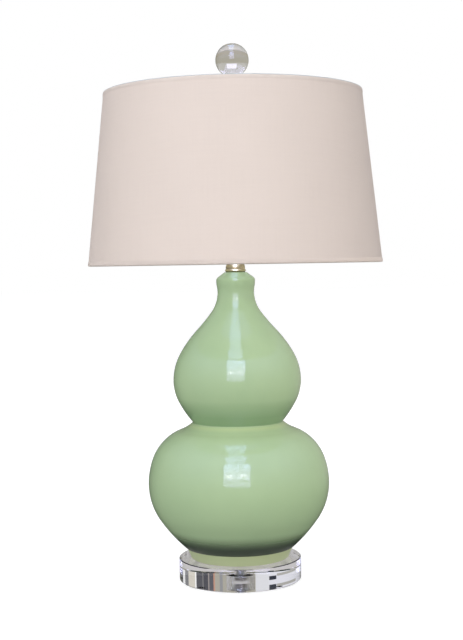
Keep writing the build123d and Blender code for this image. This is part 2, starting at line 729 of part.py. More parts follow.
def switch_knob():
    half = KNOB_L / 2
    body = turned([
        Line((0, 0), (KNOB_WAIST_R, 0)),
        TangentArc((KNOB_WAIST_R, 0), (KNOB_R, half), tangent=(0, 1)),
        Line((KNOB_R, half), (KNOB_R, KNOB_L - KNOB_FLUTE_R)),
        Line((KNOB_R, KNOB_L - KNOB_FLUTE_R), (KNOB_R - KNOB_FLUTE_R, KNOB_L)),
        Line((KNOB_R - KNOB_FLUTE_R, KNOB_L), (0, KNOB_L)),
        Line((0, KNOB_L), (0, 0)),
    ])
    for place in PolarLocations(KNOB_R, KNOB_FLUTES):
        body -= place * Pos(0, 0, half) * Cylinder(KNOB_FLUTE_R, 2 * KNOB_L)
    body -= Cylinder(SPINDLE_R + GLUE_GAP, KNOB_L + 2 * GLUE_GAP)
    outwards = Plane(origin=(0, -knob_start(), CAP_LOW + SPINDLE_Z), x_dir=(1, 0, 0), z_dir=(0, -1, 0))
    return outwards * body


# ---------------------------------------------------------------- light bulb
def bulb_tip():
    return ring(0, TIP_R, TIP_LOW, TIP_LOW + TIP_H)


def bulb_insulator():
    low = TIP_LOW + TIP_H
    top = TIP_LOW + TIP_H + BASE_CONE_H
    inner = BASE_R - SCREW_SHELL_T
    return turned(outline((0, low), (BASE_CONE_R, low), (inner, top), (0, top)))


def bulb_base():
    low, top = TIP_LOW + TIP_H + BASE_CONE_H, TIP_LOW + BASE_H
    return ring(BASE_R - SCREW_SHELL_T, BASE_R, low, top)


def bulb_glass():
    """A pear shaped glass with an open neck that is cemented into the base."""
    low, widest, top = TIP_LOW + BASE_H - GLASS_TUCK, TIP_LOW + GLASS_Z, TIP_LOW + BULB_LENGTH
    outer = [(GLASS_NECK_R, low, 90), (GLASS_R, widest, 90), (0, top, 180)]
    inner = [inset(station, GLASS_T) for station in outer]
    edges = smooth(outer) + smooth(inner)
    edges += [Line((0, top), (0, top - GLASS_T)), Line(outer[0][:2], inner[0][:2])]
    return turned(edges)


# ---------------------------------------------------------------- shade
SLANT = math.hypot(SHADE_H, SHADE_BOTTOM_R - SHADE_TOP_R)
UP_SLANT = Vector(SHADE_TOP_R - SHADE_BOTTOM_R, SHADE_H) * (1 / SLANT)
OFF_SLANT = Vector(UP_SLANT.Y, -UP_SLANT.X)
LAYER_LOW = TRIM_T + GLUE_GAP                    # fabric, liner and rings end inside the folded trims
LAYER_TOP = SLANT - TRIM_T - GLUE_GAP
LINER_OUT = -FABRIC_T - GLUE_GAP                 # depths are from the fabric's outer face, inwards below 0
LINER_IN = LINER_OUT - LINER_T
WIRE_DEPTH = LINER_IN - GLUE_GAP - RING_WIRE_R
TRIM_IN = WIRE_DEPTH - RING_WIRE_R - GLUE_GAP


def on_shade(along, depth):
    """A point at a distance up the shade's slant and a depth off the fabric's outer face."""
    point = Vector(SHADE_BOTTOM_R, SHADE_LOW) + UP_SLANT * along + OFF_SLANT * depth
    return (point.X, point.Y)


def shade_layer(outer, inner):
    return turned(outline(
        on_shade(LAYER_LOW, outer), on_shade(LAYER_TOP, outer),
        on_shade(LAYER_TOP, inner), on_shade(LAYER_LOW, inner),
    ))


def shade_fabric():
    return shade_layer(0, -FABRIC_T)


def shade_liner():
    return shade_layer(LINER_OUT, LINER_IN)


def wire_ring(along):
    """A hoop of wire inside the liner."""
    radius, height = on_shade(along, WIRE_DEPTH)
    return Pos(0, 0, height) * Torus(radius, RING_WIRE_R)


def shade_bottom_ring():
    return wire_ring(LAYER_LOW + RING_WIRE_R)


def shade_spider():
    """The washer, its arms and the top hoop, welded together."""
    along = LAYER_TOP - RING_WIRE_R
    hoop_r, hoop_z = on_shade(along, WIRE_DEPTH)
    arm_z = (SPIDER_LOW + SPIDER_TOP) / 2
    reach = (SPIDER_HOLE_R + SPIDER_WASHER_R) / 2
    spider = wire_ring(along) + ring(0, SPIDER_WASHER_R, SPIDER_LOW, SPIDER_TOP)
    arm = rod(RING_WIRE_R, (reach, 0, arm_z), (hoop_r, 0, hoop_z))
    for index in range(SPIDER_ARMS):
        spider += Rot(0, 0, 360 / SPIDER_ARMS * index - 90) * arm
    clear = SEAT_R + RUN_GAP
    spider -= ring(0, clear, SPIDER_LOW - 2 * RING_WIRE_R, SPIDER_LOW)
    spider -= ring(0, clear, SPIDER_TOP, SPIDER_TOP + 2 * RING_WIRE_R)
    return spider - ring(0, SPIDER_HOLE_R, SPIDER_LOW - 1, SPIDER_TOP + 1)


def trim(edge, into):
    """Cloth tape folded round one edge of the shade; into is +1 or -1, the way back up or down the slant."""
    fold, end = edge + into * TRIM_T, edge + into * TRIM_H
    return turned(outline(
        on_shade(edge, TRIM_T + GLUE_GAP), on_shade(end, TRIM_T + GLUE_GAP),
        on_shade(end, GLUE_GAP), on_shade(fold, GLUE_GAP),
        on_shade(fold, TRIM_IN), on_shade(end, TRIM_IN),
        on_shade(end, TRIM_IN - TRIM_T), on_shade(edge, TRIM_IN - TRIM_T),
    ))


def shade_bottom_trim():
    return trim(0, 1)


def shade_top_trim():
    """The upper tape, notched where the spider's arms pass through its inner leg."""
    notch_r = RING_WIRE_R + GLUE_GAP
    hoop_r, hoop_z = on_shade(LAYER_TOP - RING_WIRE_R, WIRE_DEPTH)
    arm_z = (SPIDER_LOW + SPIDER_TOP) / 2
    tape = trim(SLANT, -1)
    notch = rod(notch_r, (SPIDER_WASHER_R, 0, arm_z), (hoop_r, 0, hoop_z))
    for index in range(SPIDER_ARMS):
        tape -= Rot(0, 0, 360 / SPIDER_ARMS * index - 90) * notch
    return tape


# ---------------------------------------------------------------- finial
def finial_base():
    """Turned brass, threaded on the stud below and hollowed to take the ball above."""
    foot_top = FINIAL_LOW + FINIAL_FOOT_H
    neck_z = FINIAL_LOW + FINIAL_NECK_Z
    seat_r = BALL_R + GLUE_GAP
    bottom = BALL_Z - seat_r
    rim_z = BALL_Z - math.sqrt(seat_r ** 2 - FINIAL_CUP_R ** 2)
    cup_low = rim_z - FINIAL_CUP_EDGE
    bore_r, bore_top = STUD_R + THREAD_FIT, SEAT_TOP + STUD_H + RUN_GAP
    edges = [
        Line((bore_r, FINIAL_LOW), (FINIAL_FOOT_R, FINIAL_LOW)),
        Line((FINIAL_FOOT_R, FINIAL_LOW), (FINIAL_FOOT_R, foot_top)),
        *biarc((FINIAL_FOOT_R, foot_top, 180), (FINIAL_NECK_R, neck_z, 90)),
        *biarc((FINIAL_NECK_R, neck_z, 90), (FINIAL_CUP_R, cup_low, 0)),
        Line((FINIAL_CUP_R, cup_low), (FINIAL_CUP_R, rim_z)),
        TangentArc((0, bottom), (FINIAL_CUP_R, rim_z), tangent=(1, 0)),
        Line((0, bottom), (0, bore_top)),
        Line((0, bore_top), (bore_r, bore_top)),
        Line((bore_r, bore_top), (bore_r, FINIAL_LOW)),
    ]
    return turned(edges)


def finial_ball():
    return Pos(0, 0, BALL_Z) * Sphere(BALL_R)


PIECES = {
    "base_bumpers": base_bumpers,
    "base_disc": base_disc,
    "bottom_washer": bottom_washer,
    "bottom_star_washer": bottom_star_washer,
    "bottom_hex_nut": lambda: hex_nut(NUT_LOW, BOTTOM_NUT_T),
    "lamp_pipe": lamp_pipe,
    "gourd_body": gourd_body,
    "cord_grommet": cord_grommet,
    "neck_gasket": neck_gasket,
    "brass_neck": brass_neck,
    "harp_saddle": harp_saddle,
    "neck_locknut": lambda: hex_nut(LOCKNUT_LOW, LOCKNUT_T),
    "socket_cap": socket_cap,
    "cap_set_screw": cap_set_screw,
    "socket_shell": socket_shell,
    "socket_fibre": socket_fibre,
    "socket_core": socket_core,
    "terminal_screws": terminal_screws,
    "screw_shell": screw_shell,
    "centre_contact": centre_contact,
    "switch_bush": switch_bush,
    "switch_spindle": switch_spindle,
    "switch_knob": switch_knob,
    "bulb_tip": bulb_tip,
    "bulb_insulator": bulb_insulator,
    "bulb_base": bulb_base,
    "bulb_glass": bulb_glass,
    "harp_bow": harp_bow,
    "harp_sleeve_left": lambda: harp_sleeve(-1),
    "harp_sleeve_right": lambda: harp_sleeve(1),
    "harp_swivel": harp_swivel,
    "shade_spider": shade_spider,
    "shade_bottom_ring": shade_bottom_ring,
    "shade_liner": shade_liner,
    "shade_fabric": shade_fabric,
    "shade_top_trim": shade_top_trim,
    "shade_bottom_trim": shade_bottom_trim,
    "finial_base": finial_base,
    "finial_ball": finial_ball,
}

os.makedirs("parts", exist_ok=True)
for name, make in PIECES.items():
    export_step(make(), f"parts/{name}.step")
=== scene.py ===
"""A double gourd table lamp, dressed around its CAD frame.

Everything is in metres in the frame's own axes: the lamp stands on z = 0, its axis is the Z axis
and its front looks along -Y. A turned piece is drawn as an outline of (radius, height) points and
spun.
"""

import json
import logging
import math
from collections.abc import Callable, Sequence
from dataclasses import dataclass, field
from enum import Enum

import bpy
from mathutils import Matrix, Vector

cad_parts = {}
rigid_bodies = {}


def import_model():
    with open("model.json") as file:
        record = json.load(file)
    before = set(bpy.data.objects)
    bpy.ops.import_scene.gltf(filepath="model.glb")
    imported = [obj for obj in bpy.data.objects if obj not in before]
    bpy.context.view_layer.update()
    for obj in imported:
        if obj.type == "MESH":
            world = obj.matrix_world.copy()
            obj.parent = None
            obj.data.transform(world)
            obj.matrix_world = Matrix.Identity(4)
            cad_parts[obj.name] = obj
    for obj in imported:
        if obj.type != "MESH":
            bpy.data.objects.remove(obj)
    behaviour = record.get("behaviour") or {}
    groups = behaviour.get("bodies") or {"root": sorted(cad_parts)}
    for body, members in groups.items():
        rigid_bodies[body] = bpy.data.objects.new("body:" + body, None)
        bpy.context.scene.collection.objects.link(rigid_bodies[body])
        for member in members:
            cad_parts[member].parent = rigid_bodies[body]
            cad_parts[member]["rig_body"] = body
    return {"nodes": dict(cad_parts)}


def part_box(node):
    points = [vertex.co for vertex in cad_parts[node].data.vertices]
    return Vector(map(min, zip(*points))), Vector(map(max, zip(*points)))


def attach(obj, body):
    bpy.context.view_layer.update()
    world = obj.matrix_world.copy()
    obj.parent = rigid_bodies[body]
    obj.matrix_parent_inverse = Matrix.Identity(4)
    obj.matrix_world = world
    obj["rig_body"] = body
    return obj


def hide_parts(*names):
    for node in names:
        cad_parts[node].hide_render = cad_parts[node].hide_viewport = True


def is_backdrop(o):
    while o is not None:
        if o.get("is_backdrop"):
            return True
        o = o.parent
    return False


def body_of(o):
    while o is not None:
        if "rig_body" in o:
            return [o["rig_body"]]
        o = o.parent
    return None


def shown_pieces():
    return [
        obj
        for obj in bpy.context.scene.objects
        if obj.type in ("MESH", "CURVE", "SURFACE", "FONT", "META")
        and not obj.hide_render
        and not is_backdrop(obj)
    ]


Point = tuple[float, float]
Triple = tuple[float, float, float]
Colour = Triple
Object = bpy.types.Object
Group = bpy.types.Collection
Port = bpy.types.NodeSocket
Feed = float | Triple | Vector | Port

log = logging.getLogger("lamp")
MM = 0.001
TAU = 2 * math.pi
PICTURE = (463, 640)
NODES: dict[str, str] = {}


# ---------------------------------------------------------------- the frame's names
class Body(Enum):
    """The rigid bodies that the pieces ride on."""

    BASE = "base"
    SWITCH = "switch"
    BULB = "bulb"
    HARP = "harp"
    SLEEVE_LEFT = "sleeve_left"
    SLEEVE_RIGHT = "sleeve_right"
    SWIVEL = "swivel"
    SHADE = "shade"
    FINIAL = "finial"


def low_z(node: str) -> float:
    """The height of a CAD node's underside."""
    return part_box(node)[0][2]


def high_z(node: str) -> float:
    """The height of a CAD node's top."""
    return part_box(node)[1][2]


def outer_r(node: str) -> float:
    """The outer radius of a CAD node that stands on the lamp's axis."""
    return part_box(node)[1][0]


# ---------------------------------------------------------------- material nodes
class Nodes:
    """A short hand for building one node tree."""

    def __init__(self, tree: bpy.types.NodeTree) -> None:
        """Takes the tree that it builds in."""
        self.tree = tree

    def add(self, kind: str, inputs: dict | None = None, **settings: object) -> bpy.types.Node:
        """Adds a node.

        Args:
            kind: the node's type without its ShaderNode prefix.
            inputs: values or sockets for its inputs, by name or number.
            settings: the node's own properties.

        Returns:
            The node.
        """
        made = self.tree.nodes.new("ShaderNode" + kind)
        for key, value in settings.items():
            setattr(made, key, value)
        for key, value in (inputs or {}).items():
            self.feed(made.inputs[key], value)
        return made

    def feed(self, socket: Port, value: Feed) -> None:
        """Gives an input a value or another node's output.

        Args:
            socket: the input.
            value: the output to link to it, or a number, colour or vector.
        """
        if isinstance(value, Port):
            self.tree.links.new(value, socket)
            return
        if isinstance(value, tuple) and len(socket.default_value) == 4:
            value = (*value, 1.0)
        socket.default_value = value

    def math(self, operation: str, *values: Feed) -> Port:
        """A sum of one or two values or sockets.

        Args:
            operation: the Math node's operation.
            values: what it works on, in order.

        Returns:
            The result.
        """
        made = self.add("Math", operation=operation)
        for socket, value in zip(made.inputs, values):
            self.feed(socket, value)
        return made.outputs[0]

    def spread(self, value: Feed, low: float, high: float, start: float = 0.3, end: float = 0.7,
               curve: str = "LINEAR") -> Port:
        """Maps a value from start..end to low..high, clamped at both ends."""
        places = {0: value, 1: start, 2: end, 3: low, 4: high}
        return self.add("MapRange", places, interpolation_type=curve).outputs[0]

    def mix(self, share: Feed, first: Feed, second: Feed) -> Port:
        """A mix of two colours."""
        colours = {0: share, 6: first, 7: second}
        return self.add("Mix", colours, data_type="RGBA").outputs[2]

    def blend(self, share: Feed, first: bpy.types.Node, second: bpy.types.Node) -> bpy.types.Node:
        """A mix of two shaders."""
        return self.add("MixShader", {0: share, 1: first.outputs[0], 2: second.outputs[0]})


class Shader(Nodes):
    """One material's node tree, started with a Principled shader."""

    def __init__(self, name: str) -> None:
        """Starts the material.

        Args:
            name: the material's name.
        """
        self.material = bpy.data.materials.new(name)
        self.material.use_nodes = True
        super().__init__(self.material.node_tree)
        self.surface = next(n for n in self.tree.nodes if n.type == "BSDF_PRINCIPLED")
        self.output = next(n for n in self.tree.nodes if n.type == "OUTPUT_MATERIAL")

    def place(self, scale: Triple = (1, 1, 1), uv: str = "") -> Port:
        """Where a point is on the piece.

        Args:
            scale: how many times the pattern repeats along each axis.
            uv: a UV map to read instead of object coordinates.

        Returns:
            The scaled place.
        """
        if uv:
            source = self.add("UVMap", uv_map=uv).outputs[0]
        else:
            source = self.add("TexCoord").outputs["Object"]
        return self.add("Mapping", {"Vector": source, "Scale": Vector(scale)}).outputs[0]

    def noise(self, vector: Port, scale: float, detail: float = 2.0) -> Port:
        """Noise from 0 to 1 at so many cells in a metre."""
        inputs = {"Vector": vector, "Scale": scale, "Detail": detail}
        return self.add("TexNoise", inputs).outputs[0]

    def set(self, **values: Feed) -> None:
        """Sets the Principled shader's inputs; an underscore stands for a space."""
        for key, value in values.items():
            self.feed(self.surface.inputs[key.replace("_", " ")], value)

    def bump(self, height: Port, distance: float, strength: float = 1.0) -> None:
        """Raises the surface by a height from 0 to 1, times a distance in metres."""
        made = self.add("Bump", {"Strength": strength, "Distance": distance, "Height": height})
        self.feed(self.surface.inputs["Normal"], made.outputs[0])

    def show(self, node: bpy.types.Node) -> None:
        """Makes this shader the surface."""
        self.feed(self.output.inputs[0], node.outputs[0])


@dataclass(frozen=True)
class Finish:
    """What a piece is made of, with the record's material slot that it goes by."""

    slot: str
    colour: Colour

    def shader(self) -> Shader:
        """The finish's material, built afresh."""
        raise NotImplementedError

    def material(self) -> bpy.types.Material:
        """The finish's material, built once.

        Returns:
            The material, which pieces of the same finish share.
        """
        name = f"{type(self).__name__}_{self.slot}_{round(sum(self.colour) * 100)}"
        found = bpy.data.materials.get(name)
        if found is None:
            found = self.shader().material
            found.name = name
        return found


@dataclass(frozen=True)
class Glaze(Finish):
    """Glossy celadon over a pale body, with painted shade and painted light in its colour.

    It is painted darker above the foot, partly glaze pooled there and mostly painted shade where
    the belly faces down, and darker over the skirt above the waist as painted shade. It breaks
    paler over the edges, and the bands at the waist lip and just below the waist are painted light.
    Each break is a height, how far it reaches up and down, and how pale it gets.
    """

    breaks: tuple[Triple, ...] = ()
    pale: Colour = (0.66, 0.76, 0.41)
    deep: Colour = (0.39, 0.55, 0.32)
    # colour and heights of the painted shade above the foot
    painted_foot_shade: Colour = (0.045, 0.072, 0.038)
    painted_foot_shade_z: Point = (0.057, 0.082)
    foot_z: float = 0.0485
    # colour and heights of the painted shade over the skirt above the waist
    painted_skirt_shade: Colour = (0.29, 0.43, 0.235)
    painted_skirt_shade_z: Point = (0.234, 0.258)
    waist_z: float = 0.222
    drift: float = 0.35
    gloss: Point = (0.04, 0.08)
    dulled: float = 0.4
    ripple: float = 0.6 * MM

    def shader(self) -> Shader:
        """Builds the glaze.

        Returns:
            Its node tree.
        """
        s = Shader("glaze")
        here = s.place()
        height = s.add("SeparateXYZ", {0: here}).outputs[2]
        drift = s.spread(s.noise(s.place((1, 1, 0.4)), 14, 3), 0, self.drift)
        colour = s.mix(drift, self.colour, self.deep)
        # painted shade above the foot, where the belly faces down, partly glaze pooled there
        foot_shade_share = s.spread(height, 1, 0, *self.painted_foot_shade_z, "SMOOTHSTEP")
        colour = s.mix(foot_shade_share, colour, self.painted_foot_shade)
        # painted shade over the skirt above the waist, under the upper lobe
        above = s.math("GREATER_THAN", height, self.waist_z)
        painted_skirt_shade = s.math("MULTIPLY", s.spread(height, 1, 0, *self.painted_skirt_shade_z), above)
        colour = s.mix(painted_skirt_shade, colour, self.painted_skirt_shade)
        colour = s.mix(s.math("LESS_THAN", height, self.foot_z), colour, self.pale)
        # paler glaze over the edges; the bands at the waist lip and just below the waist are
        # painted light
        for level, reach, strength in self.breaks:
            away = s.math("ABSOLUTE", s.math("SUBTRACT", height, level))
            colour = s.mix(s.spread(away, strength, 0, 0, reach), colour, self.pale)
        dull = s.math("MULTIPLY", foot_shade_share, self.dulled)
        rough = s.math("ADD", s.spread(s.noise(here, 60), *self.gloss), dull)
        s.set(Base_Color=colour, IOR=1.5, Roughness=rough)
        pinholes = s.math("MULTIPLY", s.noise(here, 420, 2), 0.06)
        s.bump(s.math("ADD", s.noise(s.place((1, 1, 1.6)), 26, 2), pinholes), self.ripple, 0.5)
        return s


@dataclass(frozen=True)
class Bisque(Finish):
    """Bare fired clay, dry and finely pitted."""

    fired: Colour = (0.72, 0.66, 0.56)
    rough: float = 0.85
    pits: float = 0.3 * MM

    def shader(self) -> Shader:
        """Builds the bare clay.

        Returns:
            Its node tree.
        """
        s = Shader("bisque")
        grain = s.noise(s.place(), 900, 4)
        colour = s.mix(s.spread(grain, 0, 1), self.colour, self.fired)
        s.set(Base_Color=colour, Roughness=self.rough)
        s.bump(grain, self.pits, 0.6)
        return s


@dataclass(frozen=True)
class Clear(Finish):
    """Clear glass or plastic, polished or left from the tool."""

    ior: float = 1.49
    rough: float = 0.0
    lines: float = 0.0
    haze: float = 0.008

    def shader(self) -> Shader:
        """Builds the clear stuff.

        Returns:
            Its node tree.
        """
        s = Shader("clear")
        s.set(Base_Color=self.colour, IOR=self.ior, Transmission_Weight=1.0)
        if self.lines:
            rings = s.noise(s.place((0.2, 0.2, 1)), 1 / self.lines, 2)
            s.set(Roughness=s.spread(rings, self.rough * 0.7, self.rough * 1.3))
            s.bump(rings, 0.05 * MM, 0.5)
        else:
            cloud = s.noise(s.place(), 35, 2)
            s.set(Roughness=s.spread(cloud, self.rough, self.rough + self.haze))
        return s


@dataclass(frozen=True)
class Metal(Finish):
    """Plated, turned or stamped metal, with fine lines round the lamp's axis and a faint bloom."""

    rough: float = 0.2
    lines: float = 0.4 * MM
    tarnish: Colour = (0.4, 0.3, 0.15)
    aged: float = 0.2

    def shader(self) -> Shader:
        """Builds the metal.

        Returns:
            Its node tree.
        """
        s = Shader("metal")
        bloom = s.spread(s.noise(s.place(), 90, 4), 0, self.aged, 0.4, 0.8)
        rings = s.noise(s.place((0.15, 0.15, 1)), 1 / self.lines, 2)
        s.set(Metallic=1.0, Base_Color=s.mix(bloom, self.colour, self.tarnish))
        s.set(Roughness=s.spread(rings, self.rough * 0.75, self.rough * 1.4))
        s.bump(rings, 0.02 * MM, 0.4)
        return s


@dataclass(frozen=True)
class Moulded(Finish):
    """Moulded plastic, phenolic, fibre, enamel or rubber with a fine skin."""

    rough: float = 0.4
    grain: float = 0.5 * MM
    depth: float = 0.03 * MM
    coat: float = 0.0
    lift: Point = (1.12, 0.004)

    def shader(self) -> Shader:
        """Builds the moulded stuff.

        Returns:
            Its node tree.
        """
        s = Shader("moulded")
        here = s.place()
        skin = s.noise(here, 1 / self.grain, 3)
        lighter = tuple(min(1.0, c * self.lift[0] + self.lift[1]) for c in self.colour)
        cloud = s.spread(s.noise(here, 70, 3), 0, 0.4)
        s.set(Base_Color=s.mix(cloud, self.colour, lighter), Coat_Weight=self.coat)
        s.set(Roughness=s.spread(skin, self.rough * 0.85, self.rough * 1.15))
        s.bump(skin, self.depth, 0.6)
        return s


@dataclass(frozen=True)
class Frosted(Finish):
    """Inner frosted lamp glass: light comes through it, but no picture."""

    powder: Colour = (0.99, 0.99, 0.98)
    rough: Point = (0.28, 0.4)
    through: float = 0.25

    def shader(self) -> Shader:
        """Builds the frosted glass.

        Returns:
            Its node tree.
        """
        s = Shader("frosted")
        grain = s.noise(s.place(), 700, 3)
        colour = s.mix(s.spread(grain, 0, 0.5), self.colour, self.powder)
        s.set(Base_Color=colour, IOR=1.5, Roughness=s.spread(grain, *self.rough))
        s.set(Transmission_Weight=self.through, Coat_Weight=0.6, Coat_Roughness=0.05)
        return s


@dataclass(frozen=True)
class Linen(Finish):
    """Plain woven cloth, drawn on the piece's own flat cut with one thread every pitch."""

    pitch: float = 0.8 * MM
    through: float = 0.15
    shade: Colour = (0.60, 0.50, 0.46)
    cut: str = "cut"
    uneven: float = 0.06
    gaps: float = 0.05
    relief: float = 0.3

    def shader(self) -> Shader:
        """Builds the cloth: plain weave, uneven threads and some light from behind.

        Returns:
            Its node tree.
        """
        s = Shader("linen")
        flat = s.add("SeparateXYZ", {0: s.place(uv=self.cut)})
        across, along = (
            s.math("SINE", s.math("MULTIPLY", flat.outputs[axis], math.pi / self.pitch))
            for axis in (0, 1))
        over = s.math("GREATER_THAN", s.math("MULTIPLY", across, along), 0.0)
        under = s.math("SUBTRACT", 1.0, over)
        warp = s.math("MULTIPLY", s.math("ABSOLUTE", across), over)
        weave = s.math("ADD", warp, s.math("MULTIPLY", s.math("ABSOLUTE", along), under))
        upright, level, cloud = (
            s.spread(s.noise(s.place(scale, self.cut), cells, 2), -0.3, 0.3)
            for scale, cells in (((1, 0.035, 1), 420), ((0.035, 1, 1), 420), ((1, 1, 1), 9)))
        slub = s.math("ADD", upright, level)
        mottle = s.math("MULTIPLY", s.math("ADD", slub, cloud), self.uneven)
        dark = s.math("MULTIPLY", s.math("SUBTRACT", 1.0, weave), self.gaps)
        tone = s.math("MAXIMUM", s.math("ADD", mottle, dark), 0.0)
        colour = s.mix(tone, self.colour, self.shade)
        s.set(Base_Color=colour, Roughness=0.9, Sheen_Weight=0.12, Sheen_Roughness=0.5, IOR=1.4)
        s.set(Specular_IOR_Level=0.25)
        height = s.math("ADD", weave, s.math("MULTIPLY", slub, 0.35))
        s.bump(height, self.pitch * self.relief, 0.4)
        behind = s.add("BsdfTranslucent", {"Color": colour})
        s.show(s.blend(self.through, s.surface, behind))
        return s


# paler bands: a painted highlight along the waist lip, painted light just below the waist where the
# upper lobe shades it, and a pale edge at the foot's bottom
GLAZE_BREAKS_AND_LIT_BANDS = ((0.2190, 0.0040, 0.6), (0.2120, 0.0110, 0.22), (0.0335, 0.002, 0.6))
CELADON = Glaze("celadon_glaze", (0.495, 0.655, 0.38), GLAZE_BREAKS_AND_LIT_BANDS)
BARE_CLAY = Bisque("celadon_glaze", (0.80, 0.76, 0.68))
ACRYLIC = Clear("clear_acrylic", (0.985, 0.99, 1.0))
MACHINED = Clear("clear_acrylic", (0.90, 0.91, 0.93), rough=0.5, lines=0.3 * MM)
# a dark tint for the counterbore's roof: painted shade
SHADED_BORE = Clear("clear_acrylic", (0.22, 0.21, 0.20), rough=0.6, lines=0.4 * MM)
SOFT_PAD = Clear("clear_bumper", (0.93, 0.94, 0.94), ior=1.45, rough=0.12)
# the slight warm grey tint darkens what the ball shows through it: painted shade
CRYSTAL = Clear("crystal", (0.965, 0.96, 0.94), ior=1.52)
ZINC = Metal("zinc_steel", (0.60, 0.61, 0.62), rough=0.32, tarnish=(0.45, 0.44, 0.42))
BRASS = Metal("brass_hardware", (0.72, 0.53, 0.22), rough=0.26)
POLISHED = Metal("polished_brass", (0.91, 0.77, 0.46), rough=0.32, lines=0.6 * MM, aged=0.12)
# a dark, dull brass for the nut in the counterbore: painted shade
SHADED_BRASS = Metal("brass_hardware", (0.26, 0.235, 0.19), rough=0.5)
STAMPED = Metal("socket_brass", (0.78, 0.60, 0.27), rough=0.18, aged=0.15)
PLATED_WIRE = Metal("harp_wire", (0.74, 0.57, 0.27), rough=0.24)
ALUMINIUM = Metal("contact_aluminium", (0.80, 0.80, 0.81), rough=0.25, tarnish=(0.6, 0.6, 0.6))
NYLON = Moulded("grommet_plastic", (0.02, 0.02, 0.02), rough=0.38)
GASKET = Moulded("felt_gasket", (0.03, 0.028, 0.025), rough=0.85, grain=0.3 * MM)
FIBRE = Moulded("socket_fibre", (0.30, 0.25, 0.20), rough=0.8, grain=0.4 * MM, depth=0.06 * MM)
PHENOLIC = Moulded("socket_phenolic", (0.012, 0.011, 0.010), rough=0.25)
KNOB = Moulded("knob_plastic", (0.015, 0.014, 0.013), rough=0.3)
VITRITE = Moulded("bulb_insulator", (0.012, 0.012, 0.014), rough=0.08, coat=0.5)
ENAMEL = Moulded("spider_wire", (0.80, 0.78, 0.73), rough=0.3, grain=2 * MM, coat=0.4)
STYRENE = Moulded("shade_liner", (0.86, 0.83, 0.79), rough=0.45, grain=3 * MM, depth=0.02 * MM)
FROSTED = Frosted("frosted_glass", (0.90, 0.89, 0.86))
LINEN = Linen("shade_linen", (0.92, 0.80, 0.72))
TAPE = Linen("shade_tape", (0.915, 0.80, 0.725), pitch=0.5 * MM)
# a painted grey-blue line of light along the top tape's fold
FOLD_LIGHT_LINE = Linen("shade_tape", (0.60, 0.61, 0.62), pitch=0.5 * MM, through=0.05, shade=(0.5, 0.5, 0.52))


# ---------------------------------------------------------------- ways of making
@dataclass
class Outline:
    """The outline of a turned piece, drawn from point to point.

    A slope is in degrees, where 0 leads outwards and 90 straight up.
    """

    points: list[Point] = field(default_factory=list)
    step: float = math.radians(6)

    def to(self, *points: Point) -> "Outline":
        """Straight lines to these points."""
        self.points += points
        return self

    def arc(self, end: Point, slope: float) -> "Outline":
        """Draws one arc.

        Args:
            end: where it ends.
            slope: the slope at which it sets out.

        Returns:
            This outline.
        """
        x, z = self.points[-1]
        run, rise = end[0] - x, end[1] - z
        turn = 2 * math.remainder(math.atan2(rise, run) - math.radians(slope), TAU)
        if abs(turn) < 1e-4:
            return self.to(end)
        radius = math.hypot(run, rise) / (2 * math.sin(turn / 2))
        start = math.radians(slope) - math.pi / 2
        centre = (x - radius * math.cos(start), z - radius * math.sin(start))
        count = max(2, math.ceil(abs(turn) / self.step))
        for k in range(1, count):
            at = start + turn * k / count
            self.to((centre[0] + radius * math.cos(at), centre[1] + radius * math.sin(at)))
        return self.to(end)

    def biarc(self, end: Point, leave: float, arrive: float) -> "Outline":
        """Draws two arcs that join smoothly.

        Args:
            end: where the second arc ends.
            leave: the slope at which the first sets out.
            arrive: the slope at which the second arrives.

        Returns:
            This outline.
        """
        start, stop = Vector(self.points[-1]), Vector(end)
        out, into = (Vector((math.cos(math.radians(slope)), math.sin(math.radians(slope))))
                     for slope in (leave, arrive))
        chord = stop - start
        square, linear = 2 * (1 - out.dot(into)), 2 * chord.dot(out + into)
        if abs(square) < 1e-9:
            reach = chord.dot(chord) / linear
        else:
            root = math.sqrt(linear * linear + 4 * square * chord.dot(chord))
            reach = (root - linear) / (2 * square)
        middle = (start + stop + (out - into) * reach) / 2
        self.arc(tuple(middle), leave)
        half = middle - start
        turn = 2 * math.remainder(math.atan2(half.y, half.x) - math.radians(leave), TAU)
        return self.arc(end, leave + math.degrees(turn))

    def scaled(self, rise: float) -> "Outline":
        """The same outline from millimetres in metres, raised by a height."""
        return Outline([(r * MM, rise + z * MM) for r, z in self.points])


def choose(piece: Object) -> None:
    """Makes a piece the only one selected, and active."""
    bpy.ops.object.select_all(action="DESELECT")
    piece.select_set(True)
    bpy.context.view_layer.objects.active = piece


def start_piece(name: str, add: Callable, **settings: object) -> Object:
    """Adds a primitive with nothing else selected.

    Args:
        name: the new piece's name.
        add: the operator that adds the primitive.
        settings: the operator's settings.

    Returns:
        The new piece.
    """
    bpy.ops.object.select_all(action="DESELECT")
    add(**settings)
    piece = bpy.context.object
    piece.name = piece.data.name = name
    return piece


def tidy_mesh(piece: Object, angle: float = 35.0, merge: float = 1e-6) -> Object:
    """Merges a piece's doubles, turns its faces outwards and smooths it.

    Args:
        piece: the piece.
        angle: edges sharper than this many degrees stay crisp.
        merge: points closer than this become one.

    Returns:
        The piece.
    """
    choose(piece)
    bpy.ops.object.mode_set(mode="EDIT")
    bpy.ops.mesh.select_all(action="SELECT")
    bpy.ops.mesh.remove_doubles(threshold=merge)
    bpy.ops.mesh.normals_make_consistent(inside=False)
    bpy.ops.object.mode_set(mode="OBJECT")
    bpy.ops.object.shade_smooth_by_angle(angle=math.radians(angle))
    return piece


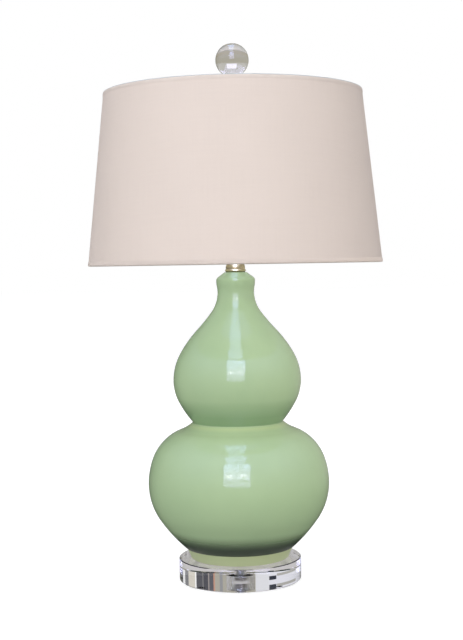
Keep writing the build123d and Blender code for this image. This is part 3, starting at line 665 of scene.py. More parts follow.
def turned(name: str, outline: Outline, steps: int = 96, angle: float = 35.0) -> Object:
    """Turns a closed outline about the Z axis: a ring of points is laid along it and spun.

    Args:
        name: the new piece's name.
        outline: the closed outline, with its last point joined to its first.
        steps: how many segments go round the axis.
        angle: edges sharper than this many degrees stay crisp.

    Returns:
        The closed, smoothed piece.
    """
    piece = profile(name, outline.points)
    bpy.ops.object.mode_set(mode="EDIT")
    bpy.ops.mesh.select_all(action="SELECT")
    bpy.ops.mesh.spin(steps=steps, angle=TAU, center=(0, 0, 0), axis=(0, 0, 1))
    bpy.ops.object.mode_set(mode="OBJECT")
    return tidy_mesh(piece, angle)


def profile(name: str, points: list[Point]) -> Object:
    """A ring of edges through points in front of the axis.

    Args:
        name: the ring's name.
        points: its points, as radius and height.

    Returns:
        The ring.
    """
    ring = start_piece(name, bpy.ops.mesh.primitive_circle_add, vertices=len(points), radius=0.01)
    for vertex, (radius, height) in zip(ring.data.vertices, points):
        vertex.co = (0, -radius, height)
    return ring


def wound(ring: Object, pitch: float, low: float, high: float, steps: int) -> None:
    """Winds a ring up the axis by the screw modifier, a turn past both ends.

    Args:
        ring: the ring of one turn, which starts one pitch below low.
        pitch: the rise in one turn.
        low: the height where the thread starts.
        high: the height where it ends.
        steps: segments in one turn.
    """
    winding = ring.modifiers.new("winding", "SCREW")
    winding.screw_offset, winding.iterations = pitch, math.ceil((high - low) / pitch) + 1
    winding.steps = winding.render_steps = steps
    choose(ring)
    bpy.ops.object.modifier_apply(modifier=winding.name)


def trimmed(piece: Object, low: float, high: float, angle: float, merge: bool = False) -> Object:
    """Cuts a wound piece off flush at two heights, closes the cuts and tidies it.

    Args:
        piece: the piece, which is active.
        low: the lower cut.
        high: the upper cut.
        angle: edges sharper than this many degrees stay crisp.
        merge: whether its turns are merged before they are cut.

    Returns:
        The piece.
    """
    bpy.ops.object.mode_set(mode="EDIT")
    if merge:
        bpy.ops.mesh.select_all(action="SELECT")
        bpy.ops.mesh.remove_doubles(threshold=1e-6)
    for level, side in ((low, "clear_inner"), (high, "clear_outer")):
        bpy.ops.mesh.select_all(action="SELECT")
        bpy.ops.mesh.bisect(
            plane_co=(0, 0, level), plane_no=(0, 0, 1), use_fill=True, **{side: True})
    bpy.ops.object.mode_set(mode="OBJECT")
    return tidy_mesh(piece, angle)


def moved(piece: Object, matrix: Matrix) -> Object:
    """Moves a piece's mesh, so that its object stays at the origin."""
    piece.data.transform(matrix)
    return piece


def own_copy(source: Object, name: str) -> Object:
    """Copies a piece.

    Args:
        source: the piece to copy.
        name: the copy's name.

    Returns:
        The copy, with a mesh of its own.
    """
    piece = source.copy()
    piece.data = source.data.copy()
    piece.name = piece.data.name = name
    bpy.context.collection.objects.link(piece)
    return piece


def cut(piece: Object, cutter: Object) -> None:
    """Takes a cutter's shape out of a piece and deletes the cutter.

    Args:
        piece: the piece.
        cutter: the shape that is taken out.
    """
    choose(piece)
    knife = piece.modifiers.new("cut", "BOOLEAN")
    knife.operation, knife.solver, knife.object = "DIFFERENCE", "EXACT", cutter
    bpy.ops.object.modifier_apply(modifier=knife.name)
    bpy.data.objects.remove(cutter)


def drill(radius: float, depth: float, place: Matrix, sides: int) -> Object:
    """A plain round cutter.

    Args:
        radius: its radius.
        depth: its length.
        place: where it goes, from lying along Z about the origin.
        sides: how many sides it has.

    Returns:
        The cutter.
    """
    add = bpy.ops.mesh.primitive_cylinder_add
    return moved(start_piece("drill", add, vertices=sides, radius=radius, depth=depth), place)


def joined(name: str, *pieces: Object) -> Object:
    """Joins pieces into one, with each shell kept whole.

    Args:
        name: the joined piece's name.
        pieces: the pieces.

    Returns:
        The joined piece.
    """
    choose(pieces[0])
    for piece in pieces[1:]:
        piece.select_set(True)
    bpy.ops.object.join()
    pieces[0].name = pieces[0].data.name = name
    return pieces[0]


def thread(name: str, root: float, crest: float, pitch: float, low: float, high: float) -> Object:
    """A V thread's ridge: a triangle wound up the axis and trimmed flush at both ends.

    Args:
        name: the ridge's name.
        root: the radius of the groove; the ridge is let in a little below it.
        crest: the radius of the ridge.
        pitch: the rise in one turn.
        low: the height where the thread starts.
        high: the height where it ends.

    Returns:
        The ridge, as one closed shell.
    """
    inner, below = root - 0.1 * MM, low - pitch
    corners = ((inner, 0.04), (crest, 0.5), (inner, 0.96))
    ridge = profile(name, [(radius, below + share * pitch) for radius, share in corners])
    wound(ridge, pitch, low, high, 32)
    return trimmed(ridge, low, high, 25)


def rolled_thread(name: str, root: float, crest: float, pitch: float, low: float, high: float,
                  wall: float = 0.35 * MM) -> Object:
    """A round rolled thread in thin sheet, as on a bulb's base.

    Args:
        name: the piece's name.
        root: the smallest radius of the sheet's inner face.
        crest: its largest radius.
        pitch: the rise in one turn.
        low: the height where it starts.
        high: the height where it ends.
        wall: the sheet's thickness, added outwards.

    Returns:
        The threaded sheet, closed all round.
    """
    count = 12
    middle, swing = (root + crest) / 2, (crest - root) / 2
    points = []
    for k in range(2 * count):
        turn = min(k, 2 * count - 1 - k) / (count - 1)
        radius = middle - swing * math.cos(TAU * turn) + (wall if k >= count else 0)
        points.append((radius, low - pitch + turn * pitch))
    sheet = profile(name, points)
    wound(sheet, pitch, low, high, 64)
    return trimmed(sheet, low, high, 50, merge=True)


def dressed_copy(node: str, name: str, angle: float = 30.0) -> Object:
    """A merged and smoothed copy of a CAD node, for a shape that is already the real one.

    Args:
        node: the CAD node.
        name: the copy's name.
        angle: edges sharper than this many degrees stay crisp.

    Returns:
        The copy.
    """
    piece = own_copy(bpy.data.objects[NODES[node]], name)
    for key in list(piece.keys()):
        del piece[key]
    piece.parent = None
    piece.matrix_world = Matrix.Identity(4)
    return tidy_mesh(piece, angle, 2e-6)


def fit(piece: Object, body: Body, finish: Finish, *nodes: str) -> None:
    """Gives a piece its finish and hangs it on a body.

    Args:
        piece: the finished piece.
        body: the body that it moves with.
        finish: what it is made of.
        nodes: the CAD nodes that it stands for.
    """
    if not piece.data.materials:
        piece.data.materials.append(finish.material())
    else:
        piece.data.materials[0] = finish.material()
    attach(piece, body.value)
    if nodes:
        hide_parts(*nodes)
    log.info("%s rides on %s, %d faces", piece.name, body.value, len(piece.data.polygons))


def dress(node: str, name: str, body: Body, finish: Finish, angle: float = 30.0) -> None:
    """Fits a copy of a CAD node in the node's place.

    Args:
        node: the CAD node.
        name: the copy's name.
        body: the body that it moves with.
        finish: what it is made of.
        angle: edges sharper than this many degrees stay crisp.
    """
    fit(dressed_copy(node, name, angle), body, finish, node)


def paint(piece: Object, finish: Finish, chosen: Callable[[Vector], bool]) -> None:
    """Gives some faces another finish.

    Args:
        piece: the piece, which has its first finish.
        finish: the other finish.
        chosen: tells from a face's centre whether it gets it.
    """
    piece.data.materials.append(finish.material())
    for face in piece.data.polygons:
        if chosen(face.center):
            face.material_index = len(piece.data.materials) - 1


def from_axis(at: Vector) -> float:
    """How far a point is from the lamp's axis."""
    return math.hypot(at.x, at.y)


# ---------------------------------------------------------------- base
@dataclass
class AcrylicFoot:
    """The clear disc, its pads and the nut and washers in its counterbore."""

    edge: float = 1.0 * MM
    hole_r: float = 5.5 * MM
    counterbore_r: float = 13.0 * MM
    pad_r: float = 5.0 * MM
    pad_t: float = 2.0 * MM
    pad_circle: float = 68.0 * MM
    pad_count: int = 4
    washer_r: float = 11.0 * MM
    washer_edge: float = 0.15 * MM
    near: float = 0.1 * MM

    def build(self) -> None:
        """Builds the disc and what holds it."""
        self.disc()
        self.pads()
        self.washer()
        dress("bottom_star_washer", "washer_star", Body.BASE, ZINC)
        # painted shade: the nut in the counterbore gets a dark, dull brass
        dress("bottom_hex_nut", "nut_bottom", Body.BASE, SHADED_BRASS, 20)

    def disc(self) -> None:
        """The disc, polished outside and left from the tool in the hole and the counterbore, whose
        roof is tinted dark as painted shade.
        """
        low, top, out = low_z("base_disc"), high_z("base_disc"), outer_r("base_disc")
        roof, edge = high_z("bottom_washer"), self.edge
        outline = Outline().to(
            (self.hole_r, top), (self.hole_r, roof), (self.counterbore_r, roof),
            (self.counterbore_r, low), (out - edge, low), (out, low + edge), (out, top - edge),
            (out - edge, top))
        disc = turned("acrylic_disc", outline, 192, 30)
        fit(disc, Body.BASE, ACRYLIC, "base_disc")
        wall_r, roof_r = self.counterbore_r + self.near, self.counterbore_r - 1 * MM
        paint(disc, MACHINED, lambda at: from_axis(at) < wall_r and at.z < top - edge)
        # painted shade: the counterbore's roof gets a dark tint, as its inside lies in shadow
        paint(disc, SHADED_BORE, lambda at: from_axis(at) < roof_r and abs(at.z - roof) < self.near)

    def pads(self) -> None:
        """The soft clear pads, domed a little underneath."""
        r, t = self.pad_r, self.pad_t
        outline = Outline(step=math.radians(12)).to((0, 0), (r * 0.6, 0))
        outline.biarc((r, t * 0.45), 0, 90).to((r, t), (0, t))
        first = turned("pad_0", outline, 32, 50)
        out = Matrix.Translation((self.pad_circle, 0, 0))
        places = [Matrix.Rotation(TAU * (k + 0.5) / self.pad_count, 4, "Z") @ out
                  for k in range(self.pad_count)]
        for k, place in enumerate(places[1:], 1):
            fit(moved(own_copy(first, f"pad_{k}"), place), Body.BASE, SOFT_PAD, "base_bumpers")
        fit(moved(first, places[0]), Body.BASE, SOFT_PAD, "base_bumpers")

    def washer(self) -> None:
        """The flat washer, with broken edges."""
        low, top = low_z("bottom_washer"), high_z("bottom_washer")
        inner, outer, rim = self.hole_r, self.washer_r, self.washer_edge
        outline = Outline().to(
            (inner, low + rim), (inner + rim, low), (outer - rim, low), (outer, low + rim),
            (outer, top - rim), (outer - rim, top), (inner + rim, top), (inner, top - rim))
        fit(turned("washer_flat", outline, 64), Body.BASE, ZINC, "bottom_washer")


@dataclass
class LampPipe:
    """The threaded tube that clamps the stack, with the gasket and the nut at its head."""

    bore_r: float = 3.4 * MM
    root_r: float = 4.55 * MM
    pitch: float = 0.94 * MM
    low_thread: float = 45.0 * MM
    high_thread: float = 48.0 * MM
    run_out: float = 0.5 * MM
    start: float = 0.4 * MM

    def build(self) -> None:
        """Builds the tube with a thread at each end."""
        low, top, crest = low_z("lamp_pipe"), high_z("lamp_pipe"), outer_r("lamp_pipe")
        low_end, high_end = low + self.low_thread, top - self.high_thread
        outline = Outline().to(
            (self.bore_r, low), (self.root_r, low), (self.root_r, low_end),
            (crest, low_end + self.run_out), (crest, high_end - self.run_out),
            (self.root_r, high_end), (self.root_r, top), (self.bore_r, top))
        tube = turned("lamp_pipe_tube", outline, 48)
        lower = thread("thread_low", self.root_r, crest, self.pitch, low + self.start, low_end)
        upper = thread("thread_high", self.root_r, crest, self.pitch, high_end, top - self.start)
        fit(joined("lamp_pipe_threaded", tube, lower, upper), Body.BASE, ZINC, "lamp_pipe")
        dress("neck_gasket", "gasket", Body.BASE, GASKET)
        dress("neck_locknut", "nut_neck", Body.BASE, BRASS, 20)


@dataclass
class Gourd:
    """The hollow glazed body: two round lobes on a leaning foot, under a short neck and its lip.

    A station is a radius, a height above the foot and a slope in degrees, where 90 is upright.
    The outline's sizes are in millimetres, as thrown.
    """

    wall: float = 6.0
    foot: tuple[Point, ...] = (
        (58.8, 1.5), (58.8, 0.4), (59.2, 0.0), (67.4, 0.0), (67.98, 0.4), (74.5, 14.8),
        (75.0, 15.2))
    lower: tuple[Triple, ...] = (
        (76.3, 15.6, 41.8), (125.9, 104, 90), (100.5, 166.5, 139.2), (63.1, 189.1, 138.0))
    upper: tuple[Triple, ...] = (
        (63.1, 190.0, 50.3), (88.8, 247, 90), (54.8, 317.8, 133.3), (25.4, 370, 90),
        (27, 385.5, 90))
    cone: Point = (24.4, 390.6)
    cone_slope: float = 143.0
    crown: Point = (15.4, 397.2)
    recess: float = 1.5
    floor: Point = (63.9, 5.5)
    ceiling: float = 388.2
    hole_r: float = 5.5
    outlet_r: float = 3.95 * MM
    outlet_y: float = 71.7 * MM
    outlet_z: float = 8.6 * MM
    bare_r: float = 59.0 * MM
    bare_z: Point = (0.3 * MM, 2.0 * MM)

    def build(self) -> None:
        """Builds the body and the bush of the cord's way out."""
        base = low_z("gourd_body")
        body = turned("gourd", self.outline().scaled(base), 224, 32)
        lean = math.atan2(self.foot[5][0] - self.foot[3][0], self.foot[5][1] - self.foot[3][1])
        place = Matrix.Translation((0, self.outlet_y, base + self.outlet_z))
        outwards = Matrix.Rotation(-math.pi / 2 - lean, 4, "X")
        cut(body, drill(self.outlet_r, 30 * MM, place @ outwards, 48))
        fit(body, Body.BASE, CELADON, "gourd_body")
        ring_z, recess_z = (base + height for height in self.bare_z)
        paint(body, BARE_CLAY,
              lambda at: at.z < ring_z or (at.z < recess_z and from_axis(at) < self.bare_r))
        dress("cord_grommet", "cord_bush", Body.BASE, NYLON)

    def outline(self) -> Outline:
        """Draws the wall, up the outside and down the inside.

        Returns:
            The closed outline in millimetres above the foot.
        """
        drawn = Outline(step=math.radians(2.2))
        drawn.to((self.hole_r, self.recess), *self.foot, self.lower[0][:2])
        self.through(drawn, self.lower)
        drawn.to(self.upper[0][:2])
        self.through(drawn, self.upper)
        x, z = self.crown
        drawn.biarc(self.cone, 90, self.cone_slope)
        drawn.to((x + 0.5, z - 0.35), (x, z), (self.hole_r, z))
        drawn.step = math.radians(9)
        inside = [self.inset(station) for station in self.upper[::-1]]
        drawn.to((self.hole_r, self.ceiling), (inside[0][0], self.ceiling), inside[0][:2])
        self.through(drawn, inside, 180)
        inside = [self.inset(station) for station in self.lower[::-1]]
        drawn.to(inside[0][:2])
        self.through(drawn, inside, 180)
        return drawn.to(self.floor, (self.hole_r, self.floor[1]))

    def through(self, drawn: Outline, stations: Sequence[Triple], turn: float = 0.0) -> None:
        """Draws smooth arcs from station to station.

        Args:
            drawn: the outline, which is at the first station.
            stations: the stations in the order in which they are passed.
            turn: 180 where they are passed downwards.
        """
        for here, there in zip(stations, stations[1:]):
            drawn.biarc(there[:2], here[2] + turn, there[2] + turn)

    def inset(self, station: Triple) -> Triple:
        """The same station on the inside of the wall."""
        radius, height, slope = station
        out = math.radians(slope - 90)
        return (radius - self.wall * math.cos(out), height - self.wall * math.sin(out), slope)


@dataclass
class BrassNeck:
    """The turned neck: a bead and a ring round its seat, a bell, a waisted stem and a collar.

    Each part is its radius and its own height in millimetres, and each slope is in degrees.
    """

    hole_r: float = 5.5
    bead: Point = (13.35, 2.6)
    bead_r: float = 14.65
    bead_slopes: Point = (30.0, 98.0)
    groove: Point = (12.9, 1.6)
    ring: Point = (13.17, 3.6)
    ring_slope: float = 71.0
    bell: Point = (8.8, 4.8)
    bell_slope: float = 101.3
    stem: Point = (7.0, 7.4)
    stem_slopes: Point = (116.0, 90.0)
    collar: Point = (9.6, 4.0)
    collar_edge: float = 0.2
    edge: float = 0.8

    def build(self) -> None:
        """Builds the neck."""
        levels = [0.0]
        for _, height in (self.bead, self.groove, self.ring, self.bell, self.stem, self.collar):
            levels.append(levels[-1] + height)
        _, groove, ring, bell, stem, collar, top = levels
        drawn = Outline(step=math.radians(7)).to((self.hole_r, 0), (self.bead[0], 0))
        drawn.arc((self.bead_r, groove * 0.5), self.bead_slopes[0])
        drawn.arc((self.groove[0], ring - 0.1), self.bead_slopes[1]).to((self.ring[0], ring))
        drawn.arc((self.ring[0], bell), self.ring_slope).arc((self.bell[0], stem), self.bell_slope)
        drawn.arc((self.stem[0], (stem + collar) / 2), self.stem_slopes[0])
        drawn.arc((self.bell[0], collar), self.stem_slopes[1])
        out, chamfer = self.collar[0], self.collar_edge
        drawn.to((out - chamfer, collar), (out, collar + chamfer), (out, top - self.edge),
                 (out - self.edge, top), (self.hole_r, top))
        neck = turned("neck_brass", drawn.scaled(low_z("brass_neck")), 128, 40)
        fit(neck, Body.BASE, POLISHED, "brass_neck")


@dataclass
class Socket:
    """The brass shelled lamp holder with its switch."""

    cap_r: float = 17.3 * MM
    wall: float = 0.6 * MM
    pipe_r: float = 5.05 * MM
    hub_r: float = 7.4 * MM
    hub_h: float = 8.0 * MM
    hub_edge: float = 0.3 * MM
    dome_h: float = 15.0 * MM
    lip: float = 0.5 * MM
    shell_r: float = 16.6 * MM
    shell_t: float = 0.5 * MM
    bead_z: Point = (24 * MM, 37 * MM)
    bead_h: float = 2.4 * MM
    rim: float = 0.9 * MM
    bush_r: float = 3.7 * MM
    thread_pitch: float = 3.63 * MM
    thread_depth: float = 0.55 * MM
    screw_r: float = 13.2 * MM
    flange_t: float = 0.4 * MM
    flange_h: float = 1.2 * MM

    def build(self) -> None:
        """Builds the holder from the cap up, then the switch."""
        dress("harp_saddle", "saddle", Body.BASE, BRASS, 25)
        self.cap()
        self.shell()
        for node, name, finish in (
            ("cap_set_screw", "set_screw", ZINC), ("socket_fibre", "insulating_sleeve", FIBRE),
            ("socket_core", "holder_core", PHENOLIC), ("terminal_screws", "terminals", BRASS),
            ("centre_contact", "contact_tongue", BRASS), ("switch_bush", "switch_collar", BRASS),
        ):
            dress(node, name, Body.BASE, finish)
        self.screw_shell()
        dress("switch_spindle", "spindle", Body.SWITCH, BRASS)
        dress("switch_knob", "knob", Body.SWITCH, KNOB, 25)

    def cap(self) -> None:
        """The spun cap with its hub and a rolled lip."""
        low, top = low_z("socket_cap"), high_z("socket_cap")
        hub, dome, out = low + self.hub_h, low + self.dome_h, self.cap_r - self.lip / 2
        drawn = Outline().to((self.pipe_r, low), (self.hub_r - self.hub_edge, low),
                             (self.hub_r, low + self.hub_edge), (self.hub_r, hub))
        drawn.biarc((out, dome), 0, 90).to((out, top - 3 * self.lip)).arc((out, top), 30)
        drawn.to((self.cap_r - self.wall, top), (self.cap_r - self.wall, dome))
        drawn.arc((self.hub_r, hub + self.wall), 270).to((self.pipe_r, hub + self.wall))
        fit(turned("holder_cap", drawn, 96), Body.BASE, STAMPED, "socket_cap")

    def shell(self) -> None:
        """The drawn shell with its beads, its turned out rim and the switch's hole in front."""
        low, top = low_z("socket_shell"), high_z("socket_shell")
        r, inner = self.shell_r, self.shell_r - self.shell_t
        drawn = Outline(step=math.radians(20)).to((inner, low), (r, low))
        for height in self.bead_z:
            drawn.to((r, low + height)).arc((r, low + height + self.bead_h), 40)
        drawn.to((r, top - 2 * self.rim)).arc((r + self.rim, top - self.rim / 2), 70)
        drawn.arc((r, top), 90).to((inner, top - 0.2 * MM))
        shell = turned("holder_shell", drawn, 128)
        level = (low_z("switch_bush") + high_z("switch_bush")) / 2
        place = Matrix.Translation((0, -r, level)) @ Matrix.Rotation(math.pi / 2, 4, "X")
        cut(shell, drill(self.bush_r, 20 * MM, place, 40))
        fit(shell, Body.BASE, STAMPED, "socket_shell")

    def screw_shell(self) -> None:
        """The rolled thread that takes the bulb's base."""
        low, top, out = low_z("screw_shell"), high_z("screw_shell"), outer_r("screw_shell")
        inner, thick, high = self.screw_r, self.flange_t, low + self.flange_h
        rolled = rolled_thread("rolled_shell", inner, inner + self.thread_depth, self.thread_pitch,
                               low + 0.6 * MM, top)
        outline = Outline().to((inner, low), (out, low), (out, low + thick), (inner + thick, high),
                               (inner, high))
        flange = turned("shell_flange", outline, 64)
        fit(joined("shell_threaded", rolled, flange), Body.BASE, ALUMINIUM, "screw_shell")


# ---------------------------------------------------------------- bulb
@dataclass
class Bulb:
    """The pear shaped bulb on its screw base."""

    tip_r: float = 4.6 * MM
    vitrite_r: Point = (9.2 * MM, 12.6 * MM)
    base_r: float = 13.1 * MM
    depth: float = 0.6 * MM
    sheet: float = 0.3 * MM
    pitch: float = 3.63 * MM
    skirt: float = 4.2 * MM
    foot_h: float = 0.9 * MM
    glass_neck_r: float = 12.4 * MM
    glass_r: float = 29.5 * MM
    widest: float = 80.0 * MM
    length: float = 110.0 * MM
    glass_t: float = 0.9 * MM

    def build(self) -> None:
        """Builds the solder tip, the vitrite, the base and the glass."""
        tip, top = low_z("bulb_tip"), high_z("bulb_tip")
        blob = Outline().to((0, tip)).biarc((self.tip_r, tip + 1.1 * MM), 0, 90)
        blob.to((self.tip_r, top), (0, top))
        fit(turned("solder_tip", blob, 40, 50), Body.BULB, ZINC, "bulb_tip")
        low, top = low_z("bulb_insulator"), high_z("bulb_insulator")
        inner, outer = self.vitrite_r
        cone = Outline().to((0, low), (inner, low), (inner + 0.3 * MM, low + 0.2 * MM))
        cone.arc((outer, top), 25).to((0, top))
        fit(turned("vitrite", cone, 64, 50), Body.BULB, VITRITE, "bulb_insulator")
        self.base()
        self.glass(tip)

    def base(self) -> None:
        """The screw base: a rolled thread between a foot and a skirt."""
        low, top, r, t = low_z("bulb_base"), high_z("bulb_base"), self.base_r, self.sheet
        inner, skirt = r - 0.7 * MM, top - self.skirt
        rolled = rolled_thread("base_thread", r - self.depth - t, r - t, self.pitch,
                               low + 0.4 * MM, skirt, t)
        collar = Outline().to((inner, skirt - 0.4 * MM), (r - 0.1 * MM, skirt), (r, top - 0.5 * MM),
                              (r - t, top), (r - 0.5 * MM, top))
        foot = Outline().to((inner, low), (r - t, low), (r - t, low + self.foot_h),
                            (inner, low + self.foot_h))
        rims = turned("collar", collar, 64), turned("foot", foot, 64)
        fit(joined("bulb_screw_base", rolled, *rims), Body.BULB, ALUMINIUM, "bulb_base")

    def glass(self, tip: float) -> None:
        """Builds the thin glass pear, open at its neck.

        Args:
            tip: the height of the bulb's tip.
        """
        low, widest, top = low_z("bulb_glass"), tip + self.widest, tip + self.length
        t = self.glass_t
        drawn = Outline(step=math.radians(4)).to((self.glass_neck_r, low))
        drawn.biarc((self.glass_r, widest), 90, 90).biarc((0, top), 90, 180)
        drawn.to((0, top - t)).biarc((self.glass_r - t, widest), 0, 270)
        drawn.biarc((self.glass_neck_r - t, low), 270, 270)
        fit(turned("bulb_pear", drawn, 96, 60), Body.BULB, FROSTED, "bulb_glass")


# ---------------------------------------------------------------- harp and swivel
@dataclass
class Harp:
    """The sprung wire bow, the sleeves that lock it and the swivel that it carries."""

    thread_pitch: float = 0.94 * MM
    stud_r: float = 3.1 * MM
    stud_root: float = 2.6 * MM
    head_r: float = 4.2 * MM
    head_t: float = 1.2 * MM
    seat_r: float = 10.0 * MM
    seat_z: Point = (0.3 * MM, 1.9 * MM)
    edge: float = 0.3 * MM

    def build(self) -> None:
        """Builds the bow, both sleeves and the swivel."""
        dress("harp_bow", "harp_wire_bow", Body.HARP, PLATED_WIRE, 40)
        for side, body in (("left", Body.SLEEVE_LEFT), ("right", Body.SLEEVE_RIGHT)):
            dress(f"harp_sleeve_{side}", f"sleeve_{side}", body, BRASS)
        self.swivel()

    def swivel(self) -> None:
        """The pin that turns in the harp's eye, the shade's seat and the threaded stud."""
        low, top = low_z("harp_swivel"), high_z("harp_swivel")
        seat_low, seat_top = (high_z("harp_bow") + rise for rise in self.seat_z)
        pin, head, edge = self.stud_root, self.head_r, self.edge
        drawn = Outline().to((0, low), (head - edge, low), (head, low + edge),
                             (head, low + self.head_t), (pin, low + self.head_t), (pin, seat_low))
        drawn.to((self.seat_r - edge, seat_low)).arc((self.seat_r - edge, seat_top), 0)
        drawn.to((pin, seat_top), (pin, top - edge), (pin - edge, top), (0, top))
        ridge_z = seat_top + edge, top - 0.5 * MM
        swivel = turned("swivel_body", drawn, 64)
        ridge = thread("stud_thread", self.stud_root, self.stud_r, self.thread_pitch, *ridge_z)
        fit(joined("swivel", swivel, ridge), Body.SWIVEL, POLISHED, "harp_swivel")


# ---------------------------------------------------------------- shade
@dataclass
class Shade:
    """The tapered drum shade: linen on a stiff liner, wire rings and tape round both edges.

    A place on it is a length up the slant and a depth off the cloth's outer face.
    """

    bottom_r: float = 203.2 * MM
    top_r: float = 177.8 * MM
    height: float = 236.5 * MM
    cloth_t: float = 0.6 * MM
    liner_t: float = 0.8 * MM
    glue: float = 0.05 * MM
    wire_r: float = 1.5 * MM
    tape_t: float = 0.5 * MM
    tape_h: float = 6.0 * MM
    tape_bend: float = 1.3 * MM
    tape_rounds: int = 6
    fold: float = 1.6 * MM
    lap: float = 9.0 * MM
    lap_t: float = 0.5 * MM
    lap_edge: float = 0.2 * MM
    steps: int = 240

    def __post_init__(self) -> None:
        """Works out the slant from the frame's own shade."""
        self.low = low_z("shade_bottom_trim")
        self.slant = math.hypot(self.height, self.bottom_r - self.top_r)
        self.up = Vector((self.top_r - self.bottom_r, self.height)) / self.slant
        self.off = Vector((self.up.y, -self.up.x))

    def at(self, along: float, depth: float) -> Point:
        """Finds a place's radius and height.

        Args:
            along: how far up the slant it is.
            depth: how far off the cloth's outer face.

        Returns:
            Its radius and height.
        """
        low = self.low + (self.tape_t + self.glue) * self.up.x
        point = Vector((self.bottom_r, low)) + self.up * along + self.off * depth
        return (point.x, point.y)

    def build(self) -> None:
        """Builds the cloth, the liner, the tapes and the wire."""
        start, end = self.tape_t + self.glue, self.slant - self.tape_t - self.glue
        cloth = self.layer("linen_cover", start, end, 0.0, -self.cloth_t, 24)
        inside = -self.cloth_t - self.glue
        liner = self.layer("liner", start, end, inside, inside - self.liner_t, 6)
        fit(cloth, Body.SHADE, LINEN, "shade_fabric")
        fit(liner, Body.SHADE, STYRENE, "shade_liner")
        lap = self.lap_seam(start, end)
        fit(lap, Body.SHADE, LINEN)
        tapes = [self.tape("tape_bottom", 0.0, 1), self.tape("tape_top", self.slant, -1)]
        fit(tapes[0], Body.SHADE, TAPE, "shade_bottom_trim")
        fit(tapes[1], Body.SHADE, TAPE, "shade_top_trim")
        # the top tape's fold gets a painted grey-blue line of light
        folded = self.at(self.slant - self.fold, 0)[1]
        paint(tapes[1], FOLD_LIGHT_LINE, lambda at: at.z > folded)
        dress("shade_spider", "spider", Body.SHADE, ENAMEL, 40)
        dress("shade_bottom_ring", "ring_bottom", Body.SHADE, ENAMEL, 60)

    def layer(self, name: str, start: float, end: float, outer: float, inner: float,
              rows: int) -> Object:
        """One conical layer with the flat cut as its UV map.

        Args:
            name: the layer's name.
            start: its lower edge, up the slant.
            end: its upper edge.
            outer: the depth of its outer face.
            inner: the depth of its inner face.
            rows: how many rows of faces it has.

        Returns:
            The closed layer.
        """
        drawn = Outline()
        for k in range(rows + 1):
            drawn.to(self.at(start + (end - start) * k / rows, outer))
        for k in range(rows, -1, -1):
            drawn.to(self.at(start + (end - start) * k / rows, inner))
        return self.lay_flat(turned(name, drawn, self.steps, 40))

    def lay_flat(self, piece: Object) -> Object:
        """Maps a piece by the flat cut: a cone's sector, its middle in front and its ends behind.

        Args:
            piece: the piece.

        Returns:
            The piece.
        """
        apex = self.low + self.height * self.bottom_r / (self.bottom_r - self.top_r)
        share = self.bottom_r / math.hypot(self.bottom_r, apex - self.low)
        chart = piece.data.uv_layers.active or piece.data.uv_layers.new(name="cut")
        chart.name = "cut"
        for face in piece.data.polygons:
            behind = face.center.x < 0
            for index in face.loop_indices:
                x, y, z = piece.data.vertices[piece.data.loops[index].vertex_index].co
                turn = math.atan2(x, -y)
                if abs(turn) > 3.1 and (turn > 0) == behind:
                    turn -= math.copysign(TAU, turn)
                reach, turn = math.hypot(math.hypot(x, y), apex - z), turn * share
                chart.data[index].uv = (reach * math.sin(turn), -reach * math.cos(turn))
        return piece

    def lap_seam(self, start: float, end: float) -> Object:
        """The cloth's folded lap up the back.

        Args:
            start: the cloth's lower edge, up the slant.
            end: its upper edge.

        Returns:
            The lap, with soft edges.
        """
        add = bpy.ops.mesh.primitive_grid_add
        strip = start_piece("lap_seam", add, x_subdivisions=6, y_subdivisions=24, size=1)
        for vertex in strip.data.vertices:
            share = vertex.co.y + 0.5
            along = start + self.tape_h + (end - start - 2 * self.tape_h) * share
            radius, height = self.at(along, 0.02 * MM)
            turn = math.pi / 2 - vertex.co.x * self.lap / radius
            vertex.co = (radius * math.cos(turn), radius * math.sin(turn), height)
        choose(strip)
        thick = strip.modifiers.new("thick", "SOLIDIFY")
        thick.thickness, thick.offset = self.lap_t, 1.0
        bpy.ops.object.modifier_apply(modifier=thick.name)
        soft = strip.modifiers.new("soft", "BEVEL")
        soft.width, soft.segments, soft.limit_method = self.lap_edge, 2, "ANGLE"
        bpy.ops.object.modifier_apply(modifier=soft.name)
        return self.lay_flat(tidy_mesh(strip, 60))

    def tape(self, name: str, edge: float, into: int) -> Object:
        """Tape folded round one edge of the shade.

        Args:
            name: the tape's name.
            edge: where the edge is, up the slant.
            into: 1 or -1, the way back into the shade.

        Returns:
            The folded tape, with a round fold and soft selvedges.
        """
        t, glue, high, bend = self.tape_t, self.glue, self.tape_h, self.tape_bend
        outside = t + glue
        inside = -self.cloth_t - self.liner_t - 3 * glue - 2 * self.wire_r - t
        turns = [math.pi / 2 * k / self.tape_rounds for k in range(self.tape_rounds + 1)]
        path = [(high, glue + 0.12 * MM), (high - 2 * MM, outside)]
        path += [(bend * (1 - math.sin(turn)), outside - bend * (1 - math.cos(turn)))
                 for turn in turns]
        path += [(bend * (1 - math.cos(turn)), inside + bend * (1 - math.sin(turn)))
                 for turn in turns]
        path += [(high - 0.15 * MM, inside), (high, inside + 0.1 * MM), (high, inside + t),
                 (bend + t, inside + t), (t * 1.4, inside + bend + t), (t, 0.0), (2 * t, glue),
                 (high, glue)]
        drawn = Outline().to(*(self.at(edge + into * back, depth) for back, depth in path))
        return self.lay_flat(turned(name, drawn, self.steps, 50))


